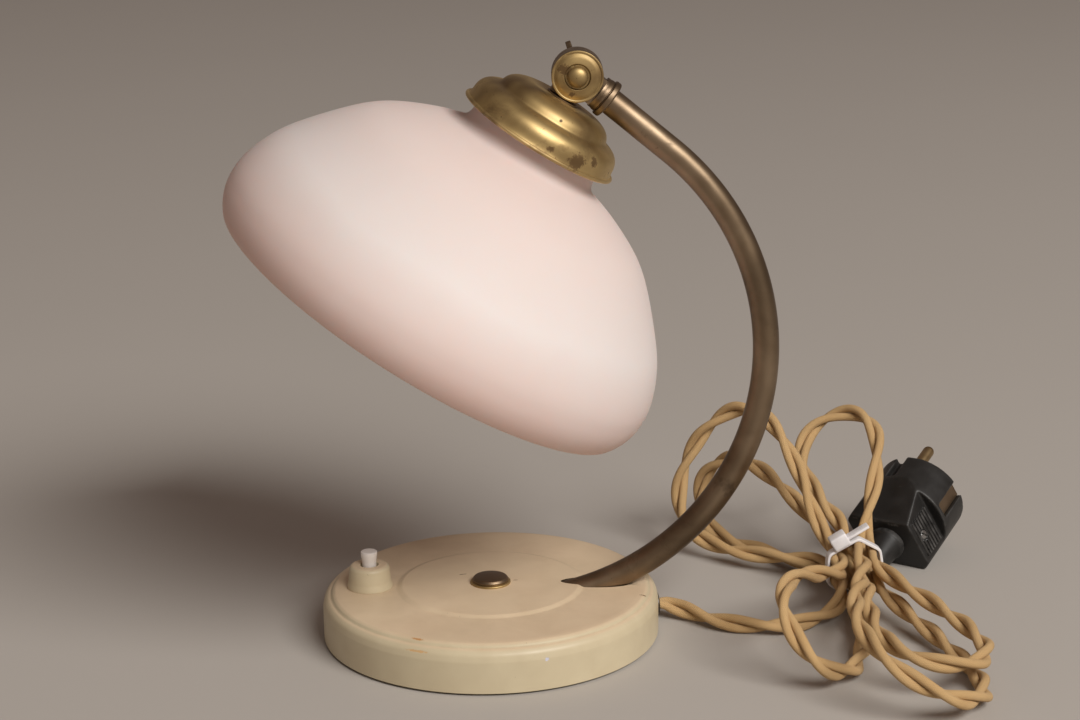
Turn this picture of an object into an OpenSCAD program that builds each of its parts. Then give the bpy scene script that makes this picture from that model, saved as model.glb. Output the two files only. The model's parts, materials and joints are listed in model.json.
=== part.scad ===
// Bedside lamp: a weighted round base, a curved brass arm and a tilting glass shade.
// Millimetres, +Z up. The origin is the middle of the base's underside, and the arm lies in the XZ plane.

/* [Base] */
// Outer diameter of the base
base_d = 130; // [126:1:150]
// Height of the flat top above the table
base_h = 19; // [18.5:0.1:22]
// Diameter of the upper tier
tier_d = 122; // [120:0.5:123]
// Radius of the upper tier's edge
tier_round = 2.2; // [1.6:0.1:2.6]
// Radius of the shoulder below the upper tier
shoulder_round = 3.4; // [2.6:0.1:3.9]
// Diameter of the raised platform in the middle
platform_d = 69; // [60:1:80]
// Height of the platform above the flat top
platform_rise = 0.8; // [0.4:0.1:1.5]
// Thickness of the pressed shell
shell_t = 1.2; // [0.9:0.1:1.5]
// Thickness of the felt under the base
felt_t = 0.8; // [0.5:0.1:1.5]
// Thickness of the bottom plate
plate_t = 1.5; // [1:0.1:2]
// Thickness of the cast ballast
ballast_t = 4.6; // [4:0.1:5]
// Diameter of the hole that takes a wall screw's head
keyhole_d = 9; // [8:0.5:10]
// Width of the keyhole's slot
keyhole_slot = 4.4; // [3.5:0.1:5]
// Thread diameter of the bolt through the middle
bolt_d = 6; // [5:0.5:7]
// Diameter of the brass cap nut
cap_nut_d = 14; // [12:0.5:18]
// Height of the brass cap nut
cap_nut_h = 2.2; // [1.6:0.1:4]

/* [Switch] */
// Distance of the push switch from the middle of the base
switch_x = 46.8; // [44:0.1:48]
// Diameter of the collar at its foot
collar_d = 17.8; // [16:0.1:20]
// Diameter of the collar at its top
collar_top_d = 15.2; // [14:0.1:16]
// Height of the collar
collar_h = 9; // [8.5:0.1:12]
// Diameter of the button's head
button_d = 6.4; // [6:0.1:8]
// Height of the button above the collar
button_h = 5.5; // [4.5:0.1:8]
// Travel of the button
button_travel = 3; // [2:0.1:3.5]

/* [Arm] */
// Outside diameter of the arm's tube
tube_d = 10; // [9:0.1:10]
// Wall of the arm's tube
tube_wall = 1; // [0.8:0.1:1.2]
// Radius of the arm's bend
arm_r = 100; // [95:1:120]
// Distance of the bend's centre from the middle of the base
arm_x = 6; // [4:0.5:8]
// Angle at which the bend ends and the straight end starts
arm_end_angle = 50; // [45:1:55]
// Length from the end of the bend to the joint
arm_run = 45; // [40:1:60]
// Diameter of the ferrule's bead
bead_d = 14.8; // [13.6:0.1:15]

/* [Joint and gallery] */
// Diameter of the joint's two halves
knuckle_d = 19.2; // [18.6:0.1:19.2]
// Thickness of each half
knuckle_t = 4.35; // [4:0.05:5]
// Diameter of the pivot bolt
pivot_d = 5; // [4:0.1:5]
// Tilt of the shade's axis from plumb
shade_tilt = 32.5; // [31:0.5:40]
// Diameter of the gallery's rolled rim
gallery_d = 62.8; // [62:0.1:66]
// Thickness of the gallery's sheet
gallery_t = 0.8; // [0.6:0.1:1]

/* [Shade and lamp] */
// Largest diameter of the glass shade
shade_d = 180; // [176:1:182]
// Drop of the glass from its shoulder to its widest circle
shade_drop = 62; // [58:0.5:66]
// Radius of the glass where it curls in below the widest circle
curl_r = 20; // [16:1:30]
// Angle at which the curl ends at the rim
curl_angle = 37; // [25:1:45]
// Diameter of the glass neck
neck_d = 51.6; // [50:0.1:52]
// Thickness of the glass
glass_t = 3; // [2:0.1:3.2]
// Diameter of the lampholder's threaded skirt
skirt_d = 28; // [27:0.1:28]
// Diameter of the bulb
bulb_d = 45; // [40:1:45]

/* [Cord and plug] */
// Diameter of the twisted pair of cords
cord_d = 7; // [6:0.1:7]
// Diameter of the plug's front
plug_d = 38; // [36:0.5:39]
// Length of the plug's body
plug_len = 34; // [32:0.5:40]
// Length of the plug's pins
pin_len = 19; // [18:0.5:20]
// Diameter of the plug's pins
pin_d = 4.8; // [4:0.1:4.8]
// Distance between the plug's pins
pin_pitch = 19; // [18:0.1:20]

/* [Hidden] */
$fn = 64;

// Colours
cream = [0.80, 0.72, 0.57];
brass = [0.55, 0.42, 0.24];
dark_brass = [0.36, 0.28, 0.18];
steel = [0.62, 0.62, 0.62];
iron = [0.25, 0.25, 0.26];
bakelite = [0.12, 0.11, 0.10];
white = [0.86, 0.83, 0.78];
opal_pink = [0.93, 0.85, 0.82];
porcelain = [0.90, 0.89, 0.85];
cord_tan = [0.75, 0.58, 0.35];
black = [0.10, 0.10, 0.10];

// Fits
fit = 0.05;
clear = 0.15;
cut = 0.1;

// Shapes of lines
function unit(v) = v / norm(v);
function reverse(p) = [for (i = [len(p) - 1 : -1 : 0]) p[i]];
function arc(c, r, a0, a1, n = 8) =
    [for (i = [0 : n]) let (a = a0 + (a1 - a0) * i / n) c + r * [cos(a), sin(a)]];
function held_ends(c) = let (n = len(c)) concat([2 * c[0] - c[1]], c, [2 * c[n - 1] - c[n - 2]]);
function curve_point(c, i, t) = (pow(1 - t, 3) * c[i] + (3 * pow(t, 3) - 6 * t * t + 4) * c[i + 1]
    + (1 + 3 * t + 3 * t * t - 3 * pow(t, 3)) * c[i + 2] + pow(t, 3) * c[i + 3]) / 6;
function curve(c, first, last, steps) = concat(
    [for (i = [first : last], j = [0 : steps - 1]) curve_point(c, i, j / steps)], [curve_point(c, last, 1)]);
function whole_curve(c, steps) = let (h = held_ends(c)) curve(h, 0, len(h) - 4, steps);
function side_of(p, i) = let (d = unit(p[min(i + 1, len(p) - 1)] - p[max(i - 1, 0)])) [-d[1], d[0]];
function sheet(p, t) = concat(p, reverse([for (i = [0 : len(p) - 1]) p[i] + t * side_of(p, i)]));

// Base
base_r = base_d / 2;
plate_z = felt_t;
ballast_z = plate_z + plate_t;
ballast_top = ballast_z + ballast_t;
platform_top = base_h + platform_rise;
platform_under = platform_top - shell_t;
platform_slope = 1.7;
ledge_z = base_h - tier_round;
plate_r = base_r - shell_t - clear;
felt_r = plate_r - 2;
ballast_gap = 7;
ballast_r = base_r - ballast_gap;
dish_r = 9.5;
dish_wall = plate_t;
dish_rise = 3.2;
dish_under = plate_z + dish_rise;
dish_top = dish_under + plate_t;
bolt_r = bolt_d / 2;
bolt_head_r = bolt_r + 2;
bolt_head_h = 2.6;
nut_h = 4.8;
nut_top = ballast_top + nut_h;
spigot_r = bolt_r + 1.3;
spigot_end = nut_top + 2.5;
sleeve_r = spigot_r + 1.7;
washer_t = 0.8;
washer_r = cap_nut_d / 2 + 0.8;
cap_z = platform_top + washer_t;
bolt_end = cap_z + 0.8;
keyhole_x = 41;
keyhole_run = 10;

// Switch
switch_at = [-switch_x, 0, 0];
collar_top = base_h + collar_h;
stem_r = 2.75;
bushing_r = 5;
bushing_top = collar_top - 2;
switch_r = 9;
switch_top = base_h - shell_t;
cavity_r = 4.6;
cavity_top = switch_top - 1.2;
stop_r = 4;
stop_t = 1.5;
spring_r = 3.1;
spring_wire = 0.7;
spring_turns = 5;
spring_room = button_travel + (spring_turns + 1) * spring_wire + 0.5;
cavity_foot = cavity_top - stop_t - spring_room;
switch_foot = cavity_foot - 1.4;
terminal = [7, 4, 0.8];
terminal_y = 4;
terminal_z = switch_foot + 4;

// Arm
tube_r = tube_d / 2;
tube_bore_r = tube_r - tube_wall;
strap_t = 0.6;
arm_z = base_h - shell_t - clear - strap_t - fit - tube_r + arm_r;
arm_start_angle = -88;
joint_at = [arm_x + arm_r * cos(arm_end_angle) - arm_run * sin(arm_end_angle), 0,
    arm_z + arm_r * sin(arm_end_angle) + arm_run * cos(arm_end_angle)];
slot_gap = 0.4;
strap_x = [10, 18];
strap_foot_t = 1.2;
strap_half_w = 15;
strap_screw_y = 11;
strap_screw_r = 2;
wire_r = 1.3;
wire_y = tube_bore_r - wire_r - clear;

// Cord exit
exit_az = 9;
exit_hole_r = cord_d / 2 + 0.7;
grommet_bore_r = cord_d / 2 + clear;
grommet_flange_r = exit_hole_r + 0.7;
exit_z = felt_t + clear + grommet_flange_r;
grommet_face = base_r + 1.2;
cord_inner_end = ballast_r - 1;
notch_w = 2 * grommet_flange_r + 2;
block = [16, 11, 8.5];
block_at = [10, 26];

// Joint
knuckle_r = knuckle_d / 2;
knuckle_gap = 0.25;
shoulder_s = knuckle_r + 0.3;
shoulder_r = 6.4;
tube_end_s = shoulder_s + 1.2;
spigot_s = tube_end_s + 9;
ferrule_r = 6.7;
bead_s = tube_end_s + 4;
bead_round = 1.3;
web_w = 11;
pivot_r = pivot_d / 2;
disc_t = 1.6;
disc_face = knuckle_gap + knuckle_t + disc_t;
disc_rim = 0.8;
disc_dish = 1;
dome_r = 3.8;
dome_foot = -disc_face;
groove_half = (knuckle_r - disc_rim - dome_r - 0.7) / 2;
groove_mid = knuckle_r - disc_rim - groove_half;
groove_r = (groove_half * groove_half + disc_dish * disc_dish) / (2 * disc_dish);
groove_turn = asin(groove_half / groove_r);
dome_h = 2.6;
spring_washer_t = 1;
nut_y = knuckle_gap + knuckle_t + spring_washer_t;
nut_len = 7;
wing_y = nut_y + 10;
wing_reach = 7.9;
wing_round = 2.6;
wing_t = 2;
wing_turn = 18;

// Gallery and lampholder, measured along the shade's axis from the joint
gallery_s = shoulder_s + 0.6;
gallery_r = gallery_d / 2;
rim_round = 1.2;
rim_s = gallery_s + 15.8;
stub_r = 5;
stub_end = gallery_s + 9.5;
stub_bore_r = 2.2;
gallery_nut_h = 3;
holder_s = gallery_s + gallery_t + gallery_nut_h;
cap_len = 9.5;
skirt_s = holder_s + cap_len;
skirt_r = skirt_d / 2;
skirt_wall = 1.6;
skirt_len = 28;
insert_len = 8;
insert_s = skirt_s + 1;
shell_s = insert_s + insert_len;
shell_r = 7.8;
shell_wall = 0.6;
shell_len = 17;
contact_t = 1.2;
ring_t = 2.5;
ring_r = 19;
gasket_t = 0.7;
glass_s = holder_s + 7.6;
gasket_s = glass_s - gasket_t;
upper_ring_s = gasket_s - ring_t;
lower_ring_s = glass_s + glass_t;
lower_ring_h = 5;
glass_hole_r = skirt_r + 1;
neck_r = neck_d / 2;
shoulder_glass_s = glass_s + 13.9;
bulb_s = shell_s + contact_t;
bulb_cap_r = shell_r - shell_wall - 0.25;
bulb_cap_len = 23;
bulb_r = bulb_d / 2;
bulb_len = 75;
bulb_t = 0.8;

// Cord: a lead along the table, then six loops held by a tie. The lead's points are laid by hand.
cord_r = cord_d / 2;
floor_z = cord_r + 0.2;
exit_dir = [cos(exit_az), sin(exit_az), 0];
lead_points = [[70.5, 10.8, 5], [75.5, 7.5, 4.3], [82.5, 1.5, 3.8], [92, -6, 3.7], [104, -10, 3.7],
    [116, -9, 3.7], [127, -3, 3.7], [136, 7, 3.9]];
lead_spans = 6;
lane_pitch = cord_d + 1;
tie_w = 4.6;
tie_t = 1.1;
tie_r = lane_pitch + cord_r + 0.6;
tie_at = [145, 28, tie_r + tie_t + 0.1];
tie_az = -84;
tie_dir = [cos(tie_az), sin(tie_az), 0];
tie_side = [-sin(tie_az), cos(tie_az), 0];
lane_angles = [210, 150, 270, undef, 30, 90, 330];
pass_half = 13;
// Each loop: azimuth, rise, length, half width, lean
loops = [[134, 22, 85, 34, 111], [-108, 1, 90, 26, -54], [129, 9, 92, 20, 108],
    [-78, -1, 97, 21, -8], [93, 31, 72, 19, -31], [-85, -2, 120, 29, -29]];
loop_points = 8;
loop_gain = 1.54;
relief_len = 14;
plug_front = relief_len + plug_len;
plug_r = plug_d / 2;
plug_drum = 13;
grip_len = plug_len - plug_drum;
grip_half_h = 11;
panel_r = 13.8;
panel_len = 16;
panel_shift = 2.5;
rib = 0.8;
rib_w = 16;
rib_pitch = 1.9;
rib_count = 7;
earth = [1.2, 6, 16];
earth_depth = 3.4;
guide = [3, 5, 13];
pin_root = 8;
screw_r = 2;
screw_depth = 3;
screw_s = relief_len + panel_len * 0.38;
plug_turn = -20;
plug_rise = atan((plug_r - grip_half_h) / grip_len);
plug_yaw = 34;
plug_end = [155.8, 53.2, grip_half_h * cos(plug_rise) - relief_len * sin(plug_rise) + 0.2];
plug_dir = [cos(plug_rise) * sin(plug_yaw), cos(plug_rise) * cos(plug_yaw), sin(plug_rise)];
tail_step = 5;

function lane(i) = let (a = lane_angles[i])
    is_undef(a) ? [0, 0, 0] : lane_pitch * (cos(a) * tie_side + sin(a) * [0, 0, 1]);
function pass_end(i, way) = tie_at + lane(i) + way * pass_half * tie_dir;
function loop_way(i) = i % 2 == 0 ? -1 : 1;
function loop_line(a, b, l) = let (
    e1 = [cos(l[0]) * cos(l[1]), sin(l[0]) * cos(l[1]), sin(l[1])],
    level = [-sin(l[0]), cos(l[0]), 0],
    e2 = level * cos(l[4]) + cross(e1, level) * sin(l[4]))
    [for (k = [1 : loop_points - 1]) let (t = k / loop_points, out = (1 - cos(360 * t)) / 2)
        a + t * (b - a) + l[2] * out * e1 - l[3] * loop_gain * sin(360 * t) * out * e2];
function above_floor(p) = [p[0], p[1], max(p[2], floor_z)];
lead_start = [for (k = [-1, 0, 1]) (grommet_face + k * cord_r) * exit_dir + [0, 0, exit_z]];
hank_points = [for (i = [0 : 5]) each concat(
    [pass_end(i, -loop_way(i)), tie_at + lane(i), pass_end(i, loop_way(i))],
    loop_line(pass_end(i, loop_way(i)), pass_end(i + 1, loop_way(i)), loops[i]))];
// The last pass bends off to the plug, so its middle point is set to hold the curve in its lane
tail_front = pass_end(6, 1);
tail_middle = (6 * (tie_at + lane(6)) - tail_front - (plug_end - tail_step * plug_dir)) / 4;
tail_points = [for (k = [-1 : 1]) plug_end + k * tail_step * plug_dir];
cord_points = concat(lead_start,
    [for (p = concat(lead_points, hank_points, [tail_front, tail_middle])) above_floor(p)], tail_points);
last_span = len(cord_points) - 4;
hank_line = curve(cord_points, lead_spans, last_span, 3);
lead_line = curve(cord_points, 0, lead_spans - 1, 3);

// Tubes along a line, with rings that don't twist
function tangent(p, i) = unit(p[min(i + 1, len(p) - 1)] - p[max(i - 1, 0)]);
function square_to(n, t) = unit(n - (n * t) * t);
function ring_sides(p) = let (last = len(p) - 1, t = [for (i = [0 : last]) tangent(p, i)])
    [for (i = 0, n = square_to([0, 0, 1], t[0]); i <= last; i = i + 1, n = square_to(n, t[min(i, last)])) n];
function end_square(p, d0, d1) =
    [for (i = [0 : len(p) - 1]) i == 0 ? d0 : i == len(p) - 1 ? d1 : tangent(p, i)];

module tube(p, r, sides, d0, d1) {
    last = len(p) - 1;
    t = end_square(p, d0, d1);
    n = ring_sides(p);
    points = [for (i = [0 : last]) let (a = square_to(n[i], t[i]), b = cross(t[i], a))
        each [for (k = [0 : sides - 1]) p[i] + r * (cos(360 * k / sides) * a + sin(360 * k / sides) * b)]];
    walls = [for (i = [0 : last - 1], k = [0 : sides - 1])
        let (q = i * sides + k, w = i * sides + (k + 1) % sides)
        each [[q, q + sides, w], [w, q + sides, w + sides]]];
    ends = [for (k = [1 : sides - 2]) each [[0, k, k + 1],
        [last * sides, last * sides + k + 1, last * sides + k]]];
    polyhedron(points, concat(walls, ends), convexity = 10);
}

// Frames: local z runs along the hinge, along the arm's end, along the shade's axis, out of the base,
// into the plug and along the tie's bundle
module in_joint() translate(joint_at) rotate([-90, 0, 0]) children();
module in_arm_end() translate(joint_at) rotate([0, 180 - arm_end_angle, 0]) children();
module in_shade() translate(joint_at) rotate([0, 180 + shade_tilt, 0]) children();
module in_exit() rotate([0, 0, exit_az]) translate([0, 0, exit_z]) rotate([0, 90, 0]) children();
module in_plug() translate(plug_end) rotate([plug_rise - 90, 0, -plug_yaw]) children();
module in_tie() translate(tie_at) rotate([90, 0, tie_az + 90]) children();

// Common shapes
module pipe(r_out, r_in, z0, z1) {
    difference() {
        translate([0, 0, z0]) cylinder(r = r_out, h = z1 - z0);
        translate([0, 0, z0 - cut]) cylinder(r = r_in, h = z1 - z0 + 2 * cut);
    }
}
module arm_bend(r, offset_y = 0, from = arm_start_angle)
    translate([arm_x, offset_y, arm_z]) rotate([90, 0, 0]) rotate([0, 0, from])
        rotate_extrude(angle = arm_end_angle - from) translate([arm_r, 0]) circle(r = r);
module keyhole(grow, z0, z1) {
    translate([keyhole_x, 0, z0]) cylinder(r = keyhole_d / 2 + grow, h = z1 - z0);
    translate([keyhole_x + keyhole_run, 0, z0]) cylinder(r = keyhole_slot / 2 + grow, h = z1 - z0);
    translate([keyhole_x, -keyhole_slot / 2 - grow, z0])
        cube([keyhole_run, keyhole_slot + 2 * grow, z1 - z0]);
}
module exit_notch(from_r, z0, z1)
    rotate([0, 0, exit_az]) translate([from_r, -notch_w / 2, z0]) cube([base_r, notch_w, z1 - z0]);

// Base
function shell_line(o) = concat([[base_r - o, plate_z]],
    arc([base_r - shoulder_round, ledge_z - shoulder_round], shoulder_round - o, 0, 90),
    arc([tier_d / 2 - tier_round, ledge_z], tier_round - o, 0, 90),
    [[platform_d / 2 + platform_slope, base_h - o], [platform_d / 2, platform_top - o],
        [0, platform_top - o]]);
module base_shell() color(cream) difference() {
    rotate_extrude() polygon(concat(shell_line(0), reverse(shell_line(shell_t))));
    cylinder(r = spigot_r + clear, h = platform_top + cut);
    translate(switch_at) cylinder(r = bushing_r + clear, h = platform_top);
    arm_bend(tube_r + slot_gap);
    in_exit() translate([0, 0, ballast_r]) cylinder(r = exit_hole_r, h = base_r);
}
module ballast() color(iron) difference() {
    rotate_extrude() polygon([[bolt_r + clear, dish_top], [dish_r + dish_wall + clear, dish_top],
        [dish_r + dish_wall + clear, ballast_z], [ballast_r, ballast_z], [ballast_r, ballast_top],
        [bolt_r + clear, ballast_top]]);
    translate(switch_at) cylinder(r = switch_r + 1, h = base_h);
    keyhole(4, 0, base_h);
    arm_bend(tube_r + fit);
    exit_notch(cord_inner_end - 8, 0, base_h);
    for (y = [-1, 1]) translate([(strap_x[0] + strap_x[1]) / 2, y * strap_screw_y, ballast_z - cut])
        cylinder(r = strap_screw_r + fit, h = base_h);
}
module bottom_plate() color(steel) difference() {
    rotate_extrude() polygon([[bolt_r + clear, dish_under], [dish_r, dish_under], [dish_r, plate_z],
        [plate_r, plate_z], [plate_r, ballast_z], [dish_r + dish_wall, ballast_z],
        [dish_r + dish_wall, dish_top], [bolt_r + clear, dish_top]]);
    keyhole(0, 0, base_h);
    exit_notch(cord_inner_end - 2, 0, base_h);
}
module felt_pad() color([0.22, 0.24, 0.20]) difference() {
    cylinder(r = felt_r, h = felt_t);
    keyhole(1, -cut, felt_t + cut);
}
module centre_bolt() color(steel) {
    translate([0, 0, dish_under - bolt_head_h]) cylinder(r = bolt_head_r, h = bolt_head_h);
    translate([0, 0, dish_under]) cylinder(r = bolt_r, h = bolt_end - dish_under);
}
module ballast_nut() color(steel) difference() {
    translate([0, 0, ballast_top]) cylinder(r = bolt_r * 1.9, h = nut_h, $fn = 6);
    cylinder(r = bolt_r + fit, h = base_h);
}
module spacer_sleeve() color(steel) pipe(sleeve_r, spigot_r + clear, nut_top, platform_under);
module cap_washer() color(brass) pipe(washer_r, spigot_r + clear, platform_top, cap_z);
module cap_nut() color(dark_brass) difference() {
    union() {
        rotate_extrude() polygon(concat([[0, cap_z]], [[cap_nut_d / 2, cap_z]],
            arc([cap_nut_d / 2 - cap_nut_h * 0.6, cap_z + cap_nut_h * 0.4], cap_nut_h * 0.6, 0, 80),
            [[0, cap_z + cap_nut_h * 1.08]]));
        translate([0, 0, spigot_end]) cylinder(r = spigot_r, h = cap_z - spigot_end);
    }
    translate([0, 0, spigot_end - cut]) cylinder(r = bolt_r + fit, h = bolt_end - spigot_end + 2 * cut);
}

// Switch
module switch_collar() color(cream) translate(switch_at) rotate_extrude() polygon(concat(
    [[bushing_r + clear, base_h], [collar_d / 2, base_h], [collar_d / 2, base_h + 1]],
    arc([collar_top_d / 2 - 1.6, collar_top - 1.6], 1.6, 10, 90),
    [[stem_r + 0.4, collar_top], [stem_r + 0.4, bushing_top + clear],
        [bushing_r + clear, bushing_top + clear]]));
module switch_body() color(bakelite) translate(switch_at) difference() {
    union() {
        translate([0, 0, switch_foot]) cylinder(r = switch_r, h = switch_top - switch_foot);
        translate([0, 0, switch_top]) cylinder(r = bushing_r, h = bushing_top - switch_top);
    }
    translate([0, 0, cavity_foot]) cylinder(r = cavity_r, h = cavity_top - cavity_foot);
    translate([0, 0, cavity_foot]) cylinder(r = stem_r + fit, h = collar_top);
    for (y = [-1, 1]) translate([cavity_r + 1, y * terminal_y - terminal[1] / 2, terminal_z]) cube(terminal);
}
module switch_button() color(white) translate(switch_at) rotate_extrude() polygon(concat(
    [[0, cavity_top - stop_t], [stop_r, cavity_top - stop_t], [stop_r, cavity_top], [stem_r, cavity_top],
        [stem_r, collar_top + button_h * 0.35], [button_d / 2, collar_top + button_h * 0.75]],
    arc([button_d / 2 - 0.7, collar_top + button_h - 0.7], 0.7, 0, 90), [[0, collar_top + button_h]]));
spring_line = let (z0 = cavity_foot + spring_wire / 2 + fit, z1 = cavity_top - stop_t - spring_wire / 2 - fit)
    [for (i = [0 : spring_turns * 8]) let (a = 45 * i)
        switch_at + [spring_r * cos(a), spring_r * sin(a), z0 + (z1 - z0) * i / (spring_turns * 8)]];
module switch_spring() color(steel)
    tube(spring_line, spring_wire / 2, 6, tangent(spring_line, 0),
        tangent(spring_line, len(spring_line) - 1));
module switch_terminals() color(brass) for (y = [-1, 1])
    translate(switch_at + [cavity_r + 1, y * terminal_y - terminal[1] / 2, terminal_z]) cube(terminal);

// Arm
module arm_tube() color(dark_brass) {
    difference() {
        arm_bend(tube_r);
        arm_bend(tube_bore_r);
    }
    in_arm_end() pipe(tube_r, tube_bore_r, tube_end_s, arm_run);
}
module strap_space() translate([strap_x[0], -strap_half_w, ballast_top])
    cube([strap_x[1] - strap_x[0], 2 * strap_half_w, base_h]);
module arm_strap() color(steel) difference() {
    intersection() {
        union() {
            arm_bend(tube_r + fit + strap_t);
            translate([0, -tube_r - fit - strap_t, 0])
                cube([arm_r, 2 * (tube_r + fit + strap_t), arm_z - arm_r + strap_t]);
            translate([0, -strap_half_w, 0]) cube([arm_r, 2 * strap_half_w, ballast_top + strap_foot_t]);
        }
        strap_space();
    }
    arm_bend(tube_r + fit);
    translate([0, -tube_r - fit, 0]) cube([arm_r, 2 * (tube_r + fit), arm_z - arm_r + fit]);
    for (y = [-1, 1]) translate([(strap_x[0] + strap_x[1]) / 2, y * strap_screw_y, 0])
        cylinder(r = strap_screw_r + clear, h = base_h);
}
module strap_screws() color(steel) for (y = [-1, 1])
    translate([(strap_x[0] + strap_x[1]) / 2, y * strap_screw_y, 0]) {
        translate([0, 0, ballast_z]) cylinder(r = strap_screw_r, h = ballast_t + strap_foot_t);
        translate([0, 0, ballast_top + strap_foot_t]) cylinder(r = strap_screw_r * 1.8, h = 2.2);
    }
module terminal_block() color(white) translate([block_at[0], block_at[1], ballast_top]) difference() {
    cube(block);
    for (y = [0.28, 0.72], z = [0.5]) translate([-cut, y * block[1], z * block[2]]) rotate([0, 90, 0])
        cylinder(r = wire_r + clear, h = block[0] + 2 * cut);
    for (x = [0.25, 0.75], y = [0.28, 0.72]) translate([x * block[0], y * block[1], block[2] / 2])
        cylinder(r = wire_r, h = block[2]);
}
module cord_grommet() color(bakelite) in_exit() rotate_extrude() polygon([
    [grommet_bore_r, base_r - shell_t - 1.6], [grommet_flange_r, base_r - shell_t - 1.6],
    [grommet_flange_r, base_r - shell_t - 0.4], [exit_hole_r - fit, base_r - shell_t - 0.4],
    [exit_hole_r - fit, base_r + fit], [grommet_flange_r, base_r + fit],
    [grommet_flange_r - 0.4, grommet_face], [grommet_bore_r, grommet_face]]);
module cord_clamp() color(steel) in_exit()
    pipe(grommet_flange_r, cord_r + fit, base_r - shell_t - 5.6, base_r - shell_t - 1.6);
module cord_inner() color(cord_tan) in_exit() translate([0, 0, cord_inner_end])
    cylinder(r = cord_r, h = grommet_face - cord_inner_end);
module arm_wires() color(cord_tan) for (y = [-1, 1]) {
    arm_bend(wire_r, y * wire_y);
    in_arm_end() translate([0, y * wire_y, spigot_s + 1]) cylinder(r = wire_r, h = arm_run - spigot_s - 1);
}
module arm_ferrule() color(brass) in_arm_end() {
    pipe(ferrule_r, tube_r + fit, tube_end_s, bead_s);
    rotate_extrude() polygon(concat(arc([bead_d / 2 - bead_round, bead_s], bead_round, -90, 90),
        [[tube_r + fit, bead_s + bead_round], [tube_r + fit, bead_s - bead_round]]));
}

// Tilting joint
module arm_knuckle() color(brass) difference() {
    union() {
        in_joint() translate([0, 0, -knuckle_gap - knuckle_t]) cylinder(r = knuckle_r, h = knuckle_t);
        in_arm_end() {
            translate([-web_w / 2, -knuckle_gap - knuckle_t, 0]) cube([web_w, knuckle_t, tube_end_s]);
            translate([0, 0, shoulder_s]) cylinder(r = shoulder_r, h = tube_end_s - shoulder_s);
            translate([0, 0, tube_end_s]) cylinder(r = tube_bore_r - fit, h = spigot_s - tube_end_s);
        }
    }
    in_joint() translate([0, 0, -disc_face]) cylinder(r = pivot_r + fit, h = disc_face);
    in_arm_end() translate([0, 0, shoulder_s - cut]) cylinder(r = stub_bore_r, h = spigot_s);
}
module friction_washer() color([0.45, 0.30, 0.20]) in_joint()
    pipe(knuckle_r - 1, pivot_r + fit, -knuckle_gap, knuckle_gap - fit);
module dished_disc() color(brass) in_joint() rotate_extrude() polygon(concat(
    [[pivot_r + fit, -knuckle_gap - knuckle_t], [knuckle_r, -knuckle_gap - knuckle_t]],
    arc([knuckle_r - 0.5, 0.5 - disc_face], 0.5, 0, -90, 4),
    arc([groove_mid, disc_dish - disc_face - groove_r], groove_r, 90 - groove_turn, 90 + groove_turn, 12),
    [[pivot_r + fit, dome_foot]]));
module pivot_bolt() color(brass) in_joint() rotate_extrude() polygon(concat(
    [[0, nut_y + nut_len - 0.5]],
    [for (p = arc([0, 0], 1, -90, 0)) [dome_r * p[0], dome_foot - 0.8 + (dome_h - 0.8) * p[1]]],
    [[dome_r, dome_foot], [pivot_r, dome_foot], [pivot_r, nut_y + nut_len - 0.5]]));
module spring_washer() color(steel) in_joint() pipe(5.2, pivot_r + fit, knuckle_gap + knuckle_t, nut_y);
module wing_nut() color(brass) {
    in_joint() difference() {
        translate([0, 0, nut_y]) cylinder(r1 = 4.6, r2 = 3.9, h = nut_len);
        cylinder(r = pivot_r + fit, h = nut_y + nut_len + cut);
    }
    translate(joint_at) rotate([0, -wing_turn, 0]) for (side = [-1, 1])
        translate([wing_t / 2, 0, 0]) rotate([0, -90, 0]) linear_extrude(wing_t) {
            translate([side * wing_reach, wing_y]) circle(r = wing_round);
            polygon([[side * 3.2, nut_y + 1], [side * 3.2, nut_y + nut_len], [side * (wing_reach - 1.6),
                wing_y + 2], [side * (wing_reach + 2.2), wing_y - 1.4]]);
        }
}
module shade_knuckle() color(brass) difference() {
    union() {
        in_joint() translate([0, 0, knuckle_gap]) cylinder(r = knuckle_r, h = knuckle_t);
        in_shade() {
            translate([-web_w / 2, knuckle_gap, 0]) cube([web_w, knuckle_t, gallery_s]);
            translate([0, 0, shoulder_s]) cylinder(r = shoulder_r, h = gallery_s - shoulder_s);
            translate([0, 0, gallery_s]) cylinder(r = stub_r, h = stub_end - gallery_s);
        }
    }
    in_joint() cylinder(r = pivot_r + fit, h = nut_y);
    in_shade() translate([0, 0, shoulder_s - cut]) cylinder(r = stub_bore_r, h = stub_end);
}

// Gallery and lampholder
gallery_curve = whole_curve([for (p = [[0.4, 0], [0.5, 0.3], [0.61, 1.6], [0.70, 3.6], [0.735, 5.4],
    [0.81, 6.9], [0.90, 8.6], [0.965, 11], [0.985, 13.6], [0.985, 15.8]])
    [p[0] * (gallery_r - rim_round / 2), gallery_s + p[1]]], 4);
module gallery_cap() color(brass) in_shade() {
    rotate_extrude() polygon(sheet(concat([[stub_r + fit, gallery_s]], gallery_curve), gallery_t));
    rotate_extrude() translate([gallery_r - rim_round, rim_s]) circle(r = rim_round);
}
module gallery_nut() color(brass) in_shade() difference() {
    translate([0, 0, gallery_s + gallery_t]) cylinder(r = 8.2, h = gallery_nut_h, $fn = 6);
    cylinder(r = stub_r + fit, h = skirt_s);
}
module lampholder_cap() color(bakelite) in_shade() rotate_extrude() polygon([
    [stub_r + fit, holder_s], [skirt_r - 2.4, holder_s], [skirt_r - 0.2, holder_s + 2.2],
    [skirt_r - 0.2, skirt_s], [skirt_r - skirt_wall, skirt_s], [skirt_r - skirt_wall, holder_s + 3.2],
    [skirt_r - 3.2, holder_s + 1.6], [stub_r + fit, holder_s + 1.6]]);
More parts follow.
